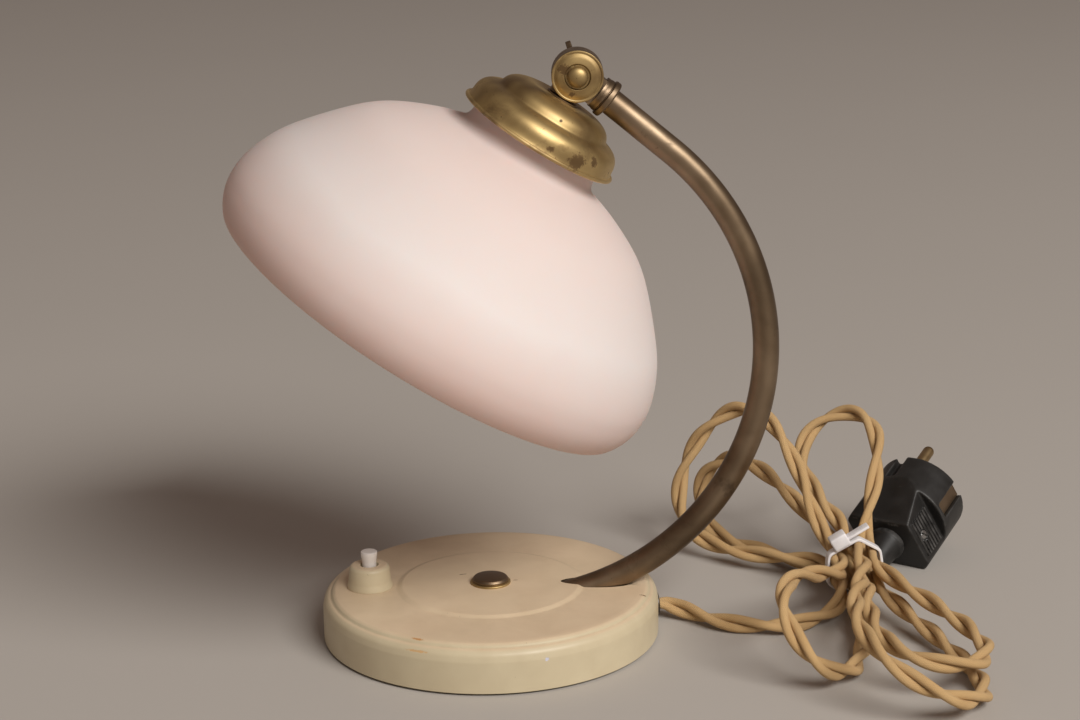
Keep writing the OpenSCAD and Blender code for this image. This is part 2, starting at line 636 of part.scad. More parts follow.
module lampholder_skirt() color(bakelite) in_shade()
    pipe(skirt_r, skirt_r - skirt_wall, skirt_s, skirt_s + skirt_len);
module lampholder_insert() color(porcelain) in_shade() difference() {
    translate([0, 0, insert_s]) cylinder(r = skirt_r - skirt_wall - fit, h = insert_len);
    for (y = [-1, 1]) translate([0, y * 8.5, insert_s - cut]) cylinder(r = wire_r, h = insert_len / 2);
}
module screw_shell() color(brass) in_shade()
    pipe(shell_r, shell_r - shell_wall, shell_s, shell_s + shell_len);
module centre_contact() color(brass) in_shade() translate([0, 0, shell_s]) cylinder(r = 2.4, h = contact_t);
module upper_shade_ring() color(bakelite) in_shade() pipe(ring_r, skirt_r + fit, upper_ring_s, gasket_s);
module shade_gasket() color([0.55, 0.42, 0.30]) in_shade() pipe(ring_r, skirt_r + fit, gasket_s, glass_s);
module lower_shade_ring() color(bakelite) in_shade() {
    pipe(ring_r, skirt_r + fit, lower_ring_s, lower_ring_s + 1.5);
    pipe(ring_r - 2.2, skirt_r + fit, lower_ring_s + 1.5, lower_ring_s + lower_ring_h);
}

// Glass: the wall runs down from the neck, over the shoulder and out to the rim
shade_r = shade_d / 2;
wide_s = shoulder_glass_s + shade_drop;
glass_bowl = whole_curve(concat([[neck_r, glass_s], [neck_r, glass_s + 5], [neck_r, shoulder_glass_s - 4],
    [neck_r + 0.2, shoulder_glass_s - 0.4]],
    [for (p = [[0.333, 0.006], [0.42, 0.043], [0.527, 0.112], [0.65, 0.205], [0.752, 0.35], [0.857, 0.526],
        [0.941, 0.68], [1, 0.895], [1, 1]])
        [p[0] * shade_r, shoulder_glass_s + p[1] * shade_drop]]), 3);
glass_curl = arc([shade_r - curl_r, wide_s], curl_r, curl_angle / 6, curl_angle, 5);
glass_wall = concat(glass_bowl, glass_curl);
module glass_shade() color(opal_pink) in_shade() {
    rotate_extrude() polygon(sheet(glass_wall, glass_t));
    pipe(neck_r - glass_t / 2, glass_hole_r, glass_s, glass_s + glass_t);
}
module bulb_cap() color(brass) in_shade() {
    translate([0, 0, bulb_s]) cylinder(r1 = 2.4, r2 = bulb_cap_r - 1, h = 3);
    translate([0, 0, bulb_s + 3]) cylinder(r = bulb_cap_r, h = bulb_cap_len - 3);
}
bulb_line = concat([[bulb_cap_r, bulb_s + bulb_cap_len], [bulb_cap_r + 1.2, bulb_s + bulb_cap_len + 6]],
    arc([0, bulb_s + bulb_len - bulb_r], bulb_r, -48, 90, 14));
module bulb_glass() color(white) in_shade() rotate_extrude()
    polygon(concat(bulb_line, [[0, bulb_s + bulb_len - bulb_t]],
        reverse([for (i = [0 : len(bulb_line) - 2]) bulb_line[i] + bulb_t * side_of(bulb_line, i)])));

// Cord
function apart(p, i, j) = norm(p[i] - p[j]) - cord_d;
module cord_lead() color(cord_tan)
    tube(lead_line, cord_r, 8, exit_dir, tangent(curve(cord_points, lead_spans - 1, lead_spans, 8), 8));
module cord_bundle() color(cord_tan) {
    fine = curve(cord_points, lead_spans, last_span, 6);
    reach = 7;
    last = len(fine) - 1;
    least = min([for (i = [0 : last - reach], j = [i + reach : last]) apart(fine, i, j)]);
    echo(str("least gap of the cord to itself: ", least, " mm"));
    tube(hank_line, cord_r, 6, tangent(curve(cord_points, lead_spans - 1, lead_spans, 8), 8), plug_dir);
}
tie_head = [7, 5.4, 6.4];
tie_head_turn = -30;
tie_tail = 10;
module cable_tie() color(white) in_tie() {
    pipe(tie_r + tie_t, tie_r, -tie_w / 2, tie_w / 2);
    rotate([0, 0, -tie_head_turn]) {
        translate([-tie_head[0] / 2, tie_r + tie_t / 2, -tie_head[2] / 2]) cube(tie_head);
        translate([tie_head[0] / 2, tie_r + tie_t + 1, -tie_w / 2]) cube([tie_tail, tie_t, tie_w]);
    }
}

// Plug: a drum behind the pins, and a grip that narrows to the flats it lies on
module plug_body() color(black) in_plug() difference() {
    union() {
        translate([0, 0, plug_front - plug_drum]) cylinder(r = plug_r, h = plug_drum);
        difference() {
            intersection() {
                translate([0, 0, relief_len]) cylinder(r = plug_r, h = grip_len);
                rotate([0, -90, 0]) linear_extrude(plug_d, center = true)
                    polygon([[relief_len, -grip_half_h], [relief_len, grip_half_h],
                        [relief_len + grip_len, plug_r], [relief_len + grip_len, -plug_r]]);
            }
            rotate([0, 0, plug_turn]) for (side = [0, 180]) rotate([0, 0, side])
                translate([panel_r, -plug_r, relief_len - cut]) cube([plug_r, plug_d, panel_len + cut]);
        }
        rotate([0, 0, plug_turn]) for (side = [0, 180], i = [0 : rib_count - 1]) rotate([0, 0, side])
            translate([panel_r - rib, panel_shift - rib_w / 2, relief_len + 2 + i * rib_pitch])
                cube([2 * rib, rib_w, rib]);
    }
    rotate([0, 0, plug_turn]) {
        for (side = [0, 180]) rotate([0, 0, side]) {
            translate([plug_r - earth_depth, -earth[1] / 2 - clear, plug_front - earth[2]])
                cube([plug_r, earth[1] + 2 * clear, earth[2] + cut]);
            translate([-guide[1] / 2, plug_r - guide[0], plug_front - guide[2]])
                cube([guide[1], plug_r, guide[2] + cut]);
            translate([0, pin_pitch / 2, plug_front - pin_root])
                cylinder(r = pin_d / 2 + fit, h = pin_root + cut);
        }
        translate([panel_r - screw_depth, panel_shift, screw_s]) rotate([0, 90, 0])
            cylinder(r = screw_r + clear, h = plug_r);
    }
}
module plug_strain_relief() color(black) in_plug()
    cylinder(r1 = cord_r + 1.7, r2 = cord_r + 4, h = relief_len);
module plug_pins() color(brass) in_plug() rotate([0, 0, plug_turn]) for (side = [-1, 1])
    translate([0, side * pin_pitch / 2, plug_front - pin_root]) {
        cylinder(r = pin_d / 2, h = pin_root + pin_len - pin_d / 2);
        translate([0, 0, pin_root + pin_len - pin_d / 2]) sphere(r = pin_d / 2);
    }
module earth_contacts() color(brass) in_plug() for (side = [0, 180])
    rotate([0, 0, plug_turn + side])
        translate([plug_r - earth_depth, -earth[1] / 2, plug_front - earth[2]]) cube(earth);
module plug_screw() color(steel) in_plug() rotate([0, 0, plug_turn])
    translate([panel_r - screw_depth, panel_shift, screw_s]) rotate([0, 90, 0])
        cylinder(r = screw_r, h = screw_depth + rib / 2);

base_shell();
ballast();
bottom_plate();
felt_pad();
centre_bolt();
ballast_nut();
spacer_sleeve();
cap_washer();
cap_nut();
switch_collar();
switch_body();
switch_button();
switch_spring();
switch_terminals();
arm_tube();
arm_strap();
strap_screws();
terminal_block();
cord_grommet();
cord_clamp();
cord_inner();
arm_wires();
arm_ferrule();
arm_knuckle();
friction_washer();
dished_disc();
pivot_bolt();
spring_washer();
wing_nut();
shade_knuckle();
gallery_cap();
gallery_nut();
lampholder_cap();
lampholder_skirt();
lampholder_insert();
screw_shell();
centre_contact();
upper_shade_ring();
shade_gasket();
lower_shade_ring();
glass_shade();
bulb_cap();
bulb_glass();
cord_lead();
cord_bundle();
cable_tie();
plug_body();
plug_strain_relief();
plug_pins();
earth_contacts();
plug_screw();
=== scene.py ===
# Bedside lamp: finishes, turned pieces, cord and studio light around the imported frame.
# Metres, +Z up, with the middle of the base's underside at the origin.
import json
import math

import bmesh
import bpy
from mathutils import Euler, Matrix, Vector
from mathutils.geometry import convex_hull_2d


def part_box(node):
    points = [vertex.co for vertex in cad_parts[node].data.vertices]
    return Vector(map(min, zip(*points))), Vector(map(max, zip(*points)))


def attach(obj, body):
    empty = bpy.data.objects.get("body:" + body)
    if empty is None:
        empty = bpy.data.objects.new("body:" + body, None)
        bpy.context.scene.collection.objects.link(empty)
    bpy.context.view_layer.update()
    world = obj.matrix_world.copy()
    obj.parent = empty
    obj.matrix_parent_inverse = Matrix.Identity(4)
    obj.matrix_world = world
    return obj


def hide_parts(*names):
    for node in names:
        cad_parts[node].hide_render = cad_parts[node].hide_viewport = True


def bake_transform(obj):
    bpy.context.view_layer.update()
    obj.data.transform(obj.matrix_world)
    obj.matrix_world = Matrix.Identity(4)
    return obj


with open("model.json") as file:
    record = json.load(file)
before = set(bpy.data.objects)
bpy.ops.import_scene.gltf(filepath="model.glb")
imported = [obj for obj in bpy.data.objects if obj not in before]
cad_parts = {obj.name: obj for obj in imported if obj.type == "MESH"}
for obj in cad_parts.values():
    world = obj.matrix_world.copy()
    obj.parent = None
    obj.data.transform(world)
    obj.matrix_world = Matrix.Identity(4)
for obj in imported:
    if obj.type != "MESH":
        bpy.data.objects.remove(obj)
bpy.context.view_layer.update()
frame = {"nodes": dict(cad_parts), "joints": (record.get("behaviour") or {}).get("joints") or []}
nodes = frame["nodes"]
joints = {joint["name"]: joint for joint in frame["joints"]}
mm = 0.001


# Node trees: a helper works in the tree that its sockets belong to
def isSocket(value):
    return isinstance(value, bpy.types.NodeSocket)


def addNode(tree, kind, inputs=None, **settings):  # a new node's outputs
    node = tree.nodes.new(kind)
    for key, value in settings.items():
        setattr(node, key, value)
    for key, value in (inputs or {}).items():
        if isSocket(value):
            tree.links.new(value, node.inputs[key])
        else:
            node.inputs[key].default_value = value
    return node.outputs


def treeOf(*values):
    return next(value.id_data for value in values if isSocket(value))


def calc(operation, first, second=0.0, third=0.0):
    tree = treeOf(first, second, third)
    return addNode(tree, "ShaderNodeMath", {0: first, 1: second, 2: third}, operation=operation)[0]


def times(first, second):
    return calc("MULTIPLY", first, second)


def plus(first, second):
    return calc("ADD", first, second)


def minus(first, second):
    return calc("SUBTRACT", first, second)


def stretched(value, low, high, newLow=0.0, newHigh=1.0):
    inputs = {"Value": value, "From Min": low, "From Max": high, "To Min": newLow, "To Max": newHigh}
    return addNode(value.id_data, "ShaderNodeMapRange", inputs)[0]


def mixed(share, first, second, blend="MIX"):  # a plain tone is red, green and blue
    first, second = [(*tone, 1) if isinstance(tone, tuple) else tone for tone in (first, second)]
    inputs = {0: share, 6: first, 7: second}
    tree = treeOf(*inputs.values())
    return addNode(tree, "ShaderNodeMix", inputs, data_type="RGBA", blend_type=blend)[2]


def noise(where, scale, detail=4.0, rough=0.55, distortion=0.0):
    inputs = {"Vector": where, "Scale": scale, "Detail": detail, "Roughness": rough, "Distortion": distortion}
    return addNode(where.id_data, "ShaderNodeTexNoise", inputs)["Fac"]


def ramp(factor, stops):
    colours = addNode(factor.id_data, "ShaderNodeValToRGB", {"Fac": factor})["Color"]
    elements = colours.node.color_ramp.elements
    while len(elements) < len(stops):
        elements.new(0.5)
    for element, (place, colour) in zip(elements, stops):
        element.position = place
        element.color = (*colour, 1)
    return colours


def bumped(height, strength, depth, under=None):
    inputs = {"Height": height, "Strength": strength, "Distance": depth}
    if under is not None:
        inputs["Normal"] = under
    return addNode(height.id_data, "ShaderNodeBump", inputs)[0]


def newGroup(name, kind, inputs, build):  # build takes the group's inputs and gives its outputs
    tree = bpy.data.node_groups.new(name, kind)
    kinds = {float: "Float", int: "Int"}
    for label, value in inputs.items():  # a socket's kind follows its value, or is the word given for it
        socketKind = kinds.get(type(value), value)
        socket = tree.interface.new_socket(label, in_out="INPUT", socket_type="NodeSocket" + socketKind)
        if socketKind != value:
            socket.default_value = value
    outputs = build(tree.nodes.new("NodeGroupInput").outputs)
    for label, socket in outputs.items():
        tree.interface.new_socket(label, in_out="OUTPUT", socket_type=socket.bl_idname)
    result = tree.nodes.new("NodeGroupOutput").inputs
    for label, socket in outputs.items():
        tree.links.new(socket, result[label])
    return tree


# Shared surface effects
def buildDrift(given):  # slow drift of tone over a surface
    field = noise(given["Vector"], given["Scale"], detail=3.0, rough=0.5, distortion=0.4)
    return {"Tone": plus(times(minus(field, 0.5), given["Contrast"]), 0.5)}


def buildSpots(given):  # scattered spots, pits or chips
    field = noise(given["Vector"], given["Scale"], detail=6.0, rough=0.62, distortion=0.3)
    return {"Mask": stretched(field, given["Threshold"], plus(given["Threshold"], given["Softness"]))}


def buildGrain(given):  # fine unevenness of a cast, painted or moulded surface
    field = noise(given["Vector"], given["Scale"], detail=3.0, rough=0.6)
    return {"Normal": bumped(field, given["Strength"], given["Depth"])}


def buildEdges(given):  # rubbed edges and concave corners
    tree = given[0].id_data
    broken = stretched(noise(given["Vector"], 260.0, detail=5.0), 0.35, 0.65)
    lift = minus(addNode(tree, "ShaderNodeNewGeometry")["Pointiness"], 0.5)

    def rubbed(way):
        share = calc("DIVIDE", way, given["Reach"])
        return times(addNode(tree, "ShaderNodeClamp", {"Value": share})[0], broken)

    return {"Edges": rubbed(lift), "Corners": rubbed(times(lift, -1.0))}


def buildMark(given):  # one ragged stain, chip or corroded place
    tree = given[0].id_data
    local = addNode(tree, "ShaderNodeMapping", {"Vector": given["Vector"], "Location": given["Place"],
        "Rotation": given["Turn"], "Scale": given["Halves"]}, vector_type="TEXTURE")[0]
    reach = addNode(tree, "ShaderNodeVectorMath", {0: local}, operation="LENGTH")["Value"]
    ragged = minus(noise(given["Vector"], 900.0, rough=0.7), 0.5)
    return {"Mask": stretched(calc("MULTIPLY_ADD", ragged, 2.2, reach), 1.15, 0.75)}


effects = {name: newGroup(title, "ShaderNodeTree", {"Vector": "Vector", **inputs}, build)
    for name, title, inputs, build in (
        ("drift", "toneDrift", {"Scale": 30.0, "Contrast": 1.0}, buildDrift),
        ("spots", "scatteredSpots", {"Scale": 200.0, "Threshold": 0.6, "Softness": 0.08}, buildSpots),
        ("grain", "fineGrain", {"Scale": 900.0, "Strength": 0.2, "Depth": 0.0002}, buildGrain),
        ("edges", "edgeRub", {"Reach": 0.06}, buildEdges),
        ("mark", "raggedMark", {"Place": "Vector", "Turn": "Vector", "Halves": "Vector"}, buildMark))}


def effect(name, where, **values):
    inputs = {"Vector": where, **{label.capitalize(): value for label, value in values.items()}}
    return addNode(where.id_data, "ShaderNodeGroup", inputs, node_tree=effects[name])


def newFinish(name):
    material = bpy.data.materials.new(name)
    material.use_nodes = True
    return material, addNode(material.node_tree, "ShaderNodeTexCoord")["Object"]


def finished(material, values):  # sets or links the inputs of the material's shader
    tree = material.node_tree
    for label, value in values.items():
        socket = tree.nodes["Principled BSDF"].inputs[label]
        if isSocket(value):
            tree.links.new(value, socket)
        else:
            socket.default_value = (*value, 1) if socket.type == "RGBA" else value
    return material


def marked(where, places):  # mask of ragged marks, each with its place, half sizes and turn
    mask = 0.0
    for place, halves, turn in places:
        mark = effect("mark", where, place=Vector(place) * mm, halves=Vector(halves) * mm,
            turn=(0, 0, math.radians(turn)))["Mask"]
        mask = calc("MAXIMUM", mask, mark)
    return mask


# Cream stove enamel, lighter and yellower on the faces that look up (partly an aged tint, partly painted
# light from above), with its chips and stains
enamel = {
    # side is the shaded tone and top the lit one, with a warmer tint on top as well
    "side": (0.62, 0.535, 0.365), "top": (0.74, 0.58, 0.40), "dirt": (0.20, 0.13, 0.07),
    "gloss": (0.36, 0.50), "veil": [(0.25, (0.90, 0.88, 0.86)), (0.75, (1, 1, 1))],
    "marks": [  # tone of the mark, then each one's place in mm, half sizes in mm and turn in degrees
        ((0.50, 0.26, 0.10), [((-26.3, -54.4, 18.6), (2.6, 0.45, 1.0), -26)]),
        ((0.60, 0.38, 0.18), [((-26.1, -58.5, 15.6), (4.2, 0.8, 0.45), -22)]),
        ((0.13, 0.07, 0.03), [((58.5, -13.9, 18.6), (1.3, 0.4, 0.8), 0),
            ((-11.1, 9.1, 19.8), (1.4, 0.3, 0.6), 15), ((9.5, 1.9, 19.8), (1.0, 0.25, 0.6), 10)]),
        ((0.58, 0.58, 0.68), [((21.4, -61.3, 12.8), (0.7, 1.0, 0.7), 0)])],
}


def makeEnamel():
    material, where = newFinish("creamEnamel")
    tree = material.node_tree
    normal = addNode(tree, "ShaderNodeNewGeometry")["Normal"]
    facing = addNode(tree, "ShaderNodeSeparateXYZ", {0: normal})["Z"]
    drift = effect("drift", where, scale=22.0, contrast=1.6)["Tone"]
    # painted light: faces that look up take the lighter top tone, partly an aged tint and partly light from
    # above
    topLightAndTint = times(stretched(facing, 0.72, 0.995), stretched(drift, 0.2, 0.8, 0.75, 1.0))
    colour = mixed(topLightAndTint, enamel["side"], enamel["top"])
    cloudy = effect("drift", where, scale=70.0)["Tone"]
    colour = mixed(1.0, colour, ramp(cloudy, enamel["veil"]), "MULTIPLY")
    # darker in the concave corners, by curvature alone
    corners = effect("edges", where, reach=0.05)["Corners"]
    colour = mixed(times(corners, 0.55), colour, enamel["dirt"])
    specks = effect("spots", where, scale=330.0, threshold=0.70, softness=0.04)["Mask"]
    colour = mixed(times(specks, 0.5), colour, enamel["dirt"])
    bare = 0.0
    for tone, places in enamel["marks"]:
        mark = marked(where, places)
        colour = mixed(mark, colour, tone)
        bare = calc("MAXIMUM", bare, mark)
    sheen = effect("drift", where, scale=120.0)["Tone"]
    gloss = stretched(sheen, 0.2, 0.8, *enamel["gloss"])
    flow = effect("grain", where, scale=260.0, strength=0.12, depth=0.0003)["Normal"]
    return finished(material, {"Base Color": colour, "Roughness": plus(gloss, times(bare, 0.3)),
        "Normal": bumped(minus(1.0, bare), 0.4, 0.0002, flow), "Specular IOR Level": 0.45})


# Brass: clean, tarnished and pitted tones, with the same build for the bright and the dark pieces
brassTones = {
    "agedBrass": {"dark": (0.21, 0.135, 0.058), "mid": (0.49, 0.355, 0.158), "light": (0.70, 0.53, 0.265),
        "blotch": (0.15, 0.088, 0.040), "gloss": (0.43, 0.62), "lacquer": 0.2,
        "blotches": 0.555, "pits": 0.655,
        "patches": [  # corroded places: on the gallery's skirt and tiers, and on the disc
            ((35.0, -26.6, 190.0), (4.2, 3.0, 3.0), 0), ((41.1, -21.5, 189.1), (2.0, 1.4, 2.0), 0),
            ((29.4, -21.7, 204.3), (0.6, 0.5, 0.6), 0), ((25.6, -30.0, 195.7), (1.6, 1.0, 1.2), 0),
            ((33.7, -5.4, 211.2), (1.6, 0.8, 1.0), 0), ((31.2, -5.6, 220.2), (2.6, 1.2, 2.2), 0)]},
    "darkBrass": {"dark": (0.125, 0.086, 0.052), "mid": (0.205, 0.145, 0.090), "light": (0.30, 0.222, 0.146),
        "blotch": (0.080, 0.052, 0.032), "gloss": (0.36, 0.50), "lacquer": 0.15,
        "blotches": 0.60, "pits": 0.69, "patches": []},
    "pinBrass": {"dark": (0.20, 0.13, 0.065), "mid": (0.36, 0.255, 0.13), "light": (0.52, 0.38, 0.21),
        "blotch": (0.12, 0.075, 0.04), "gloss": (0.32, 0.48), "lacquer": 0.0,
        "blotches": 0.62, "pits": 0.68, "patches": []},
}


def makeBrass(name):
    look = brassTones[name]
    material, where = newFinish(name)
    drift = effect("drift", where, scale=34.0, contrast=1.7)["Tone"]
    colour = ramp(drift, [(0.12, look["dark"]), (0.48, look["mid"]), (0.82, look["light"])])
    rub = effect("edges", where, reach=0.07)
    colour = mixed(times(rub["Edges"], 0.7), colour, look["light"])
    colour = mixed(times(rub["Corners"], 0.8), colour, look["blotch"])
    blotch = effect("spots", where, scale=62.0, threshold=look["blotches"], softness=0.12)["Mask"]
    pits = effect("spots", where, scale=480.0, threshold=look["pits"], softness=0.05)["Mask"]
    stain = calc("MAXIMUM", times(blotch, 0.75), times(pits, 0.9))
    if look["patches"]:
        corroded = marked(where, look["patches"])
        stain = calc("MAXIMUM", stain, times(corroded, 0.85))
    colour = mixed(stain, colour, look["blotch"])
    sheen = effect("drift", where, scale=90.0, contrast=1.4)["Tone"]
    gloss = stretched(sheen, 0.1, 0.9, *look["gloss"])
    grain = effect("grain", where, scale=1400.0, strength=0.10, depth=0.0001)["Normal"]
    return finished(material, {"Base Color": colour, "Roughness": plus(gloss, times(stain, 0.25)),
        "Normal": bumped(minus(1.0, pits), 0.25, 0.0001, grain), "Metallic": 1.0,
        "Coat Weight": look["lacquer"], "Coat Roughness": 0.3})


# Satin opal glass, pinker towards its shoulder and rim: partly the glass's own tint, partly painted shade on
# these less lit ends
opal = {"blush": (0.74, 0.59, 0.55), "body": (0.74, 0.63, 0.60), "milk": (0.77, 0.69, 0.67),
    "rim": (0.74, 0.53, 0.47)}


def makeOpal(shadeFrame, rimDepth):
    material, where = newFinish("opalGlass")
    tree = material.node_tree
    inward = shadeFrame.inverted()
    local = addNode(tree, "ShaderNodeMapping", {"Vector": where, "Rotation": inward.to_euler(),
        "Location": inward.translation})[0]
    depth = addNode(tree, "ShaderNodeSeparateXYZ", {0: local})["Z"]
    clouds = effect("drift", where, scale=16.0)["Tone"]
    wander = times(minus(clouds, 0.5), 0.16)
    share = plus(calc("DIVIDE", depth, rimDepth), wander)
    # pinker and darker at the shoulder and rim, paler in the middle band: partly tint, partly painted shade
    pinkTintAndShade = ramp(share, [(0.30, opal["blush"]), (0.48, opal["body"]), (0.66, opal["milk"]),
        (0.87, opal["blush"]), (1.0, opal["rim"])])
    satin = effect("grain", where, scale=1500.0, strength=0.05, depth=0.0001)["Normal"]
    return finished(material, {"Base Color": pinkTintAndShade, "Normal": satin, "Roughness": 0.62,
        "Specular IOR Level": 0.22, "Subsurface Weight": 0.45, "Subsurface Scale": 0.009,
        "Subsurface Radius": (1.0, 0.62, 0.5)})


# Braided cloth over each core of the cord; the UV map runs round the core and along it
braid = {"carriers": 7.0, "lay": 3.0, "thread": (0.70, 0.45, 0.20), "pale": (0.80, 0.55, 0.27),
    "gap": (0.17, 0.075, 0.03)}


def makeBraid():
    material, where = newFinish("braidedCloth")
    tree = material.node_tree
    mapUv = addNode(tree, "ShaderNodeUVMap", uv_map="cloth")[0]
    parts = addNode(tree, "ShaderNodeSeparateXYZ", {0: mapUv})
    across = times(parts["X"], braid["carriers"])
    along = calc("DIVIDE", parts["Y"], braid["lay"])
    left = plus(across, along)
    right = minus(across, along)

    def wave(value, turns):
        return calc("SINE", times(value, turns * math.tau))

    def ridge(value, turns):
        return calc("ABSOLUTE", wave(value, turns))

    over = calc("GREATER_THAN", times(wave(left, 1.0), wave(right, 1.0)), 0.0)
    under = minus(1.0, over)
    height = plus(times(over, ridge(left, 2.0)), times(under, ridge(right, 2.0)))
    crossing = plus(ridge(left, 1.0), ridge(right, 1.0))
    filled = calc("MINIMUM", stretched(height, 0.05, 0.6), stretched(crossing, 0.25, 0.95))
    drift = effect("drift", where, scale=55.0, contrast=1.5)["Tone"]
    thread = mixed(drift, braid["thread"], braid["pale"])
    return finished(material, {"Base Color": mixed(filled, braid["gap"], thread),
        "Normal": bumped(filled, 0.7, 0.0004), "Roughness": 0.78, "Specular IOR Level": 0.25,
        "Sheen Weight": 0.15, "Sheen Roughness": 0.4, "Sheen Tint": (0.95, 0.80, 0.55)})


# Plain moulded, cast and pressed finishes
plainTones = {  # tone, how far it drifts, least and most roughness, scale and strength of the grain
    "buttonWhite": ((0.84, 0.79, 0.75), 0.10, (0.40, 0.55), (1200.0, 0.08)),
    "tieNylon": ((0.80, 0.78, 0.79), 0.06, (0.35, 0.5), (900.0, 0.05)),
    "blackMoulding": ((0.014, 0.013, 0.012), 0.5, (0.34, 0.58), (1500.0, 0.12)),
    "bakelite": ((0.030, 0.020, 0.014), 0.6, (0.22, 0.40), (700.0, 0.05)),
    "porcelain": ((0.80, 0.78, 0.72), 0.06, (0.15, 0.28), (300.0, 0.04)),
    "bulbOpal": ((0.86, 0.84, 0.80), 0.04, (0.20, 0.32), (500.0, 0.02)),
    "felt": ((0.045, 0.055, 0.038), 0.6, (0.90, 1.0), (2200.0, 0.9)),
    "castIron": ((0.040, 0.038, 0.037), 0.6, (0.55, 0.75), (800.0, 0.6)),
    "fibre": ((0.20, 0.10, 0.05), 0.5, (0.70, 0.9), (1800.0, 0.4)),
    "cork": ((0.26, 0.16, 0.09), 0.6, (0.80, 0.95), (900.0, 0.5)),
    "zincSteel": ((0.46, 0.46, 0.45), 0.3, (0.32, 0.5), (1100.0, 0.1)),
}
plainMetals = ["zincSteel"]
wornTones = {"blackMoulding": (0.19, 0.183, 0.175)}  # rubbed tones other than the usual lighter one


def makePlain(name):
    tone, fade, rough, (scale, strength) = plainTones[name]
    material, where = newFinish(name)
    drift = effect("drift", where, scale=110.0, contrast=1.4)["Tone"]
    colour = mixed(drift, tuple(part * (1 - fade) for part in tone), tone)
    edges = effect("edges", where, reach=0.08)["Edges"]
    worn = wornTones.get(name, tuple(min(1, part * 1.5 + 0.03) for part in tone))
    colour = mixed(times(edges, 0.5), colour, worn)
    scuffs = effect("spots", where, scale=420.0, threshold=0.66, softness=0.1)["Mask"]
    colour = mixed(times(scuffs, 0.25), colour, worn)
    grain = effect("grain", where, scale=scale, strength=strength)["Normal"]
    return finished(material, {"Base Color": colour, "Roughness": stretched(drift, 0.1, 0.9, *rough),
        "Normal": grain, "Metallic": 1.0 if name in plainMetals else 0.0})


# Places of the pieces, from the frame's joints
def placed(at, x=0, y=0, z=0):
    turn = Euler([math.radians(angle) for angle in (x, y, z)]).to_matrix().to_4x4()
    return Matrix.Translation(at) @ turn


arm = {"centre": (6.0, 112.0), "bend": 100.0, "start": -88.0, "end": 50.0, "run": 33.9, "radius": 5.0,
    "rings": 160, "sides": 48}
shade = {"tilt": 32.5, "rimDepth": 110.0}
exitWay = {"azimuth": 9.0, "height": 5.85, "face": 66.2}
hinge = Vector(joints["shade_tilt"]["pos_m"])
jointFrame = placed(hinge, x=-90)
armFrame = placed(hinge, y=180 - arm["end"])
shadeFrame = placed(hinge, y=180 + shade["tilt"])
exitFrame = placed((0, 0, 0), z=exitWay["azimuth"]) @ placed((0, 0, exitWay["height"] * mm), y=90)
upright = Matrix.Identity(4)
switchFrame = placed((joints["switch_press"]["pos_m"][0], 0, 0))

finishes = {name: makeBrass(name) for name in brassTones}
finishes.update({name: makePlain(name) for name in plainTones})
finishes["creamEnamel"] = makeEnamel()
finishes["opalGlass"] = makeOpal(shadeFrame, shade["rimDepth"] * mm)
finishes["braidedCloth"] = makeBraid()
print("finishes made:", len(finishes))


# Meshes
def filleted(corners):  # (r, z, fillet) corners of a closed outline to points, all in mm
    points = []
    for i, (r, z, fillet) in enumerate(corners):
        here = Vector((r, z))
        back = Vector(corners[i - 1][:2]) - here
        ahead = Vector(corners[(i + 1) % len(corners)][:2]) - here
        half = back.angle(ahead) / 2 if fillet else 0
        reach = min(fillet / math.tan(half), 0.49 * back.length, 0.49 * ahead.length) if fillet else 0
        if reach < 0.01:
            points.append(here)
            continue
        radius = reach * math.tan(half)
        centre = here + (back.normalized() + ahead.normalized()).normalized() * radius / math.sin(half)
        first = here + back.normalized() * reach - centre
        last = here + ahead.normalized() * reach - centre
        steps = max(3, round(math.degrees(math.pi - 2 * half) / 9))
        for k in range(steps + 1):
            points.append(centre + first.lerp(last, k / steps).normalized() * radius)
    return points


def turned(name, outlines, place, segments, swell=None):  # closed outlines in mm, turned round z
    shape = bmesh.new()
    reaches = swell or [0.0] * segments
    ways = [math.tau * k / segments for k in range(segments)]
    for outline in outlines:
        rings = []
        for r, z in outline:
            ring = [((r + reach) * mm * math.cos(way), (r + reach) * mm * math.sin(way), z * mm)
                for way, reach in zip(ways, reaches)]
            rings.append([shape.verts.new(corner) for corner in ring])
        for i, ring in enumerate(rings):
            after = rings[(i + 1) % len(rings)]
            for k in range(segments):
                following = (k + 1) % segments
                shape.faces.new((ring[k], ring[following], after[following], after[k]))
    bmesh.ops.remove_doubles(shape, verts=shape.verts, dist=1e-6)
    bmesh.ops.recalc_face_normals(shape, faces=shape.faces)
    return asMesh(name, shape, place)


def asMesh(name, shape, place=upright):
    mesh = bpy.data.meshes.new(name)
    shape.to_mesh(mesh)
    shape.free()
    mesh.transform(place)
    return mesh


def newObject(name, data):
    thing = bpy.data.objects.new(name, data)
    bpy.context.scene.collection.objects.link(thing)
    return thing


def addPiece(name, mesh, finish, body, stands=None, crease=38):  # stands for the node of its name
    piece = newObject(name, mesh)
    mesh.materials.clear()
    mesh.materials.append(finishes[finish])
    mesh.shade_smooth()
    mesh.set_sharp_from_angle(angle=math.radians(crease))
    if body:
        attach(piece, body)
    if stands is None:
        stands = ["".join("_" + letter.lower() if letter.isupper() else letter for letter in name)]
    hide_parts(*stands)
    return piece


def addTurned(name, settings, place, finish, body, stands=None):
    mesh = turned(name, [filleted(settings["outline"])], place, settings["segments"])
    return addPiece(name, mesh, finish, body, stands)


def drum(name, radius, ends, place, segments=48):  # a plain cylinder along z, in mm
    low, high = ends
    outline = [(0, low, 0), (radius, low, 0), (radius, high, 0), (0, high, 0)]
    return turned(name, [filleted(outline)], place, segments)


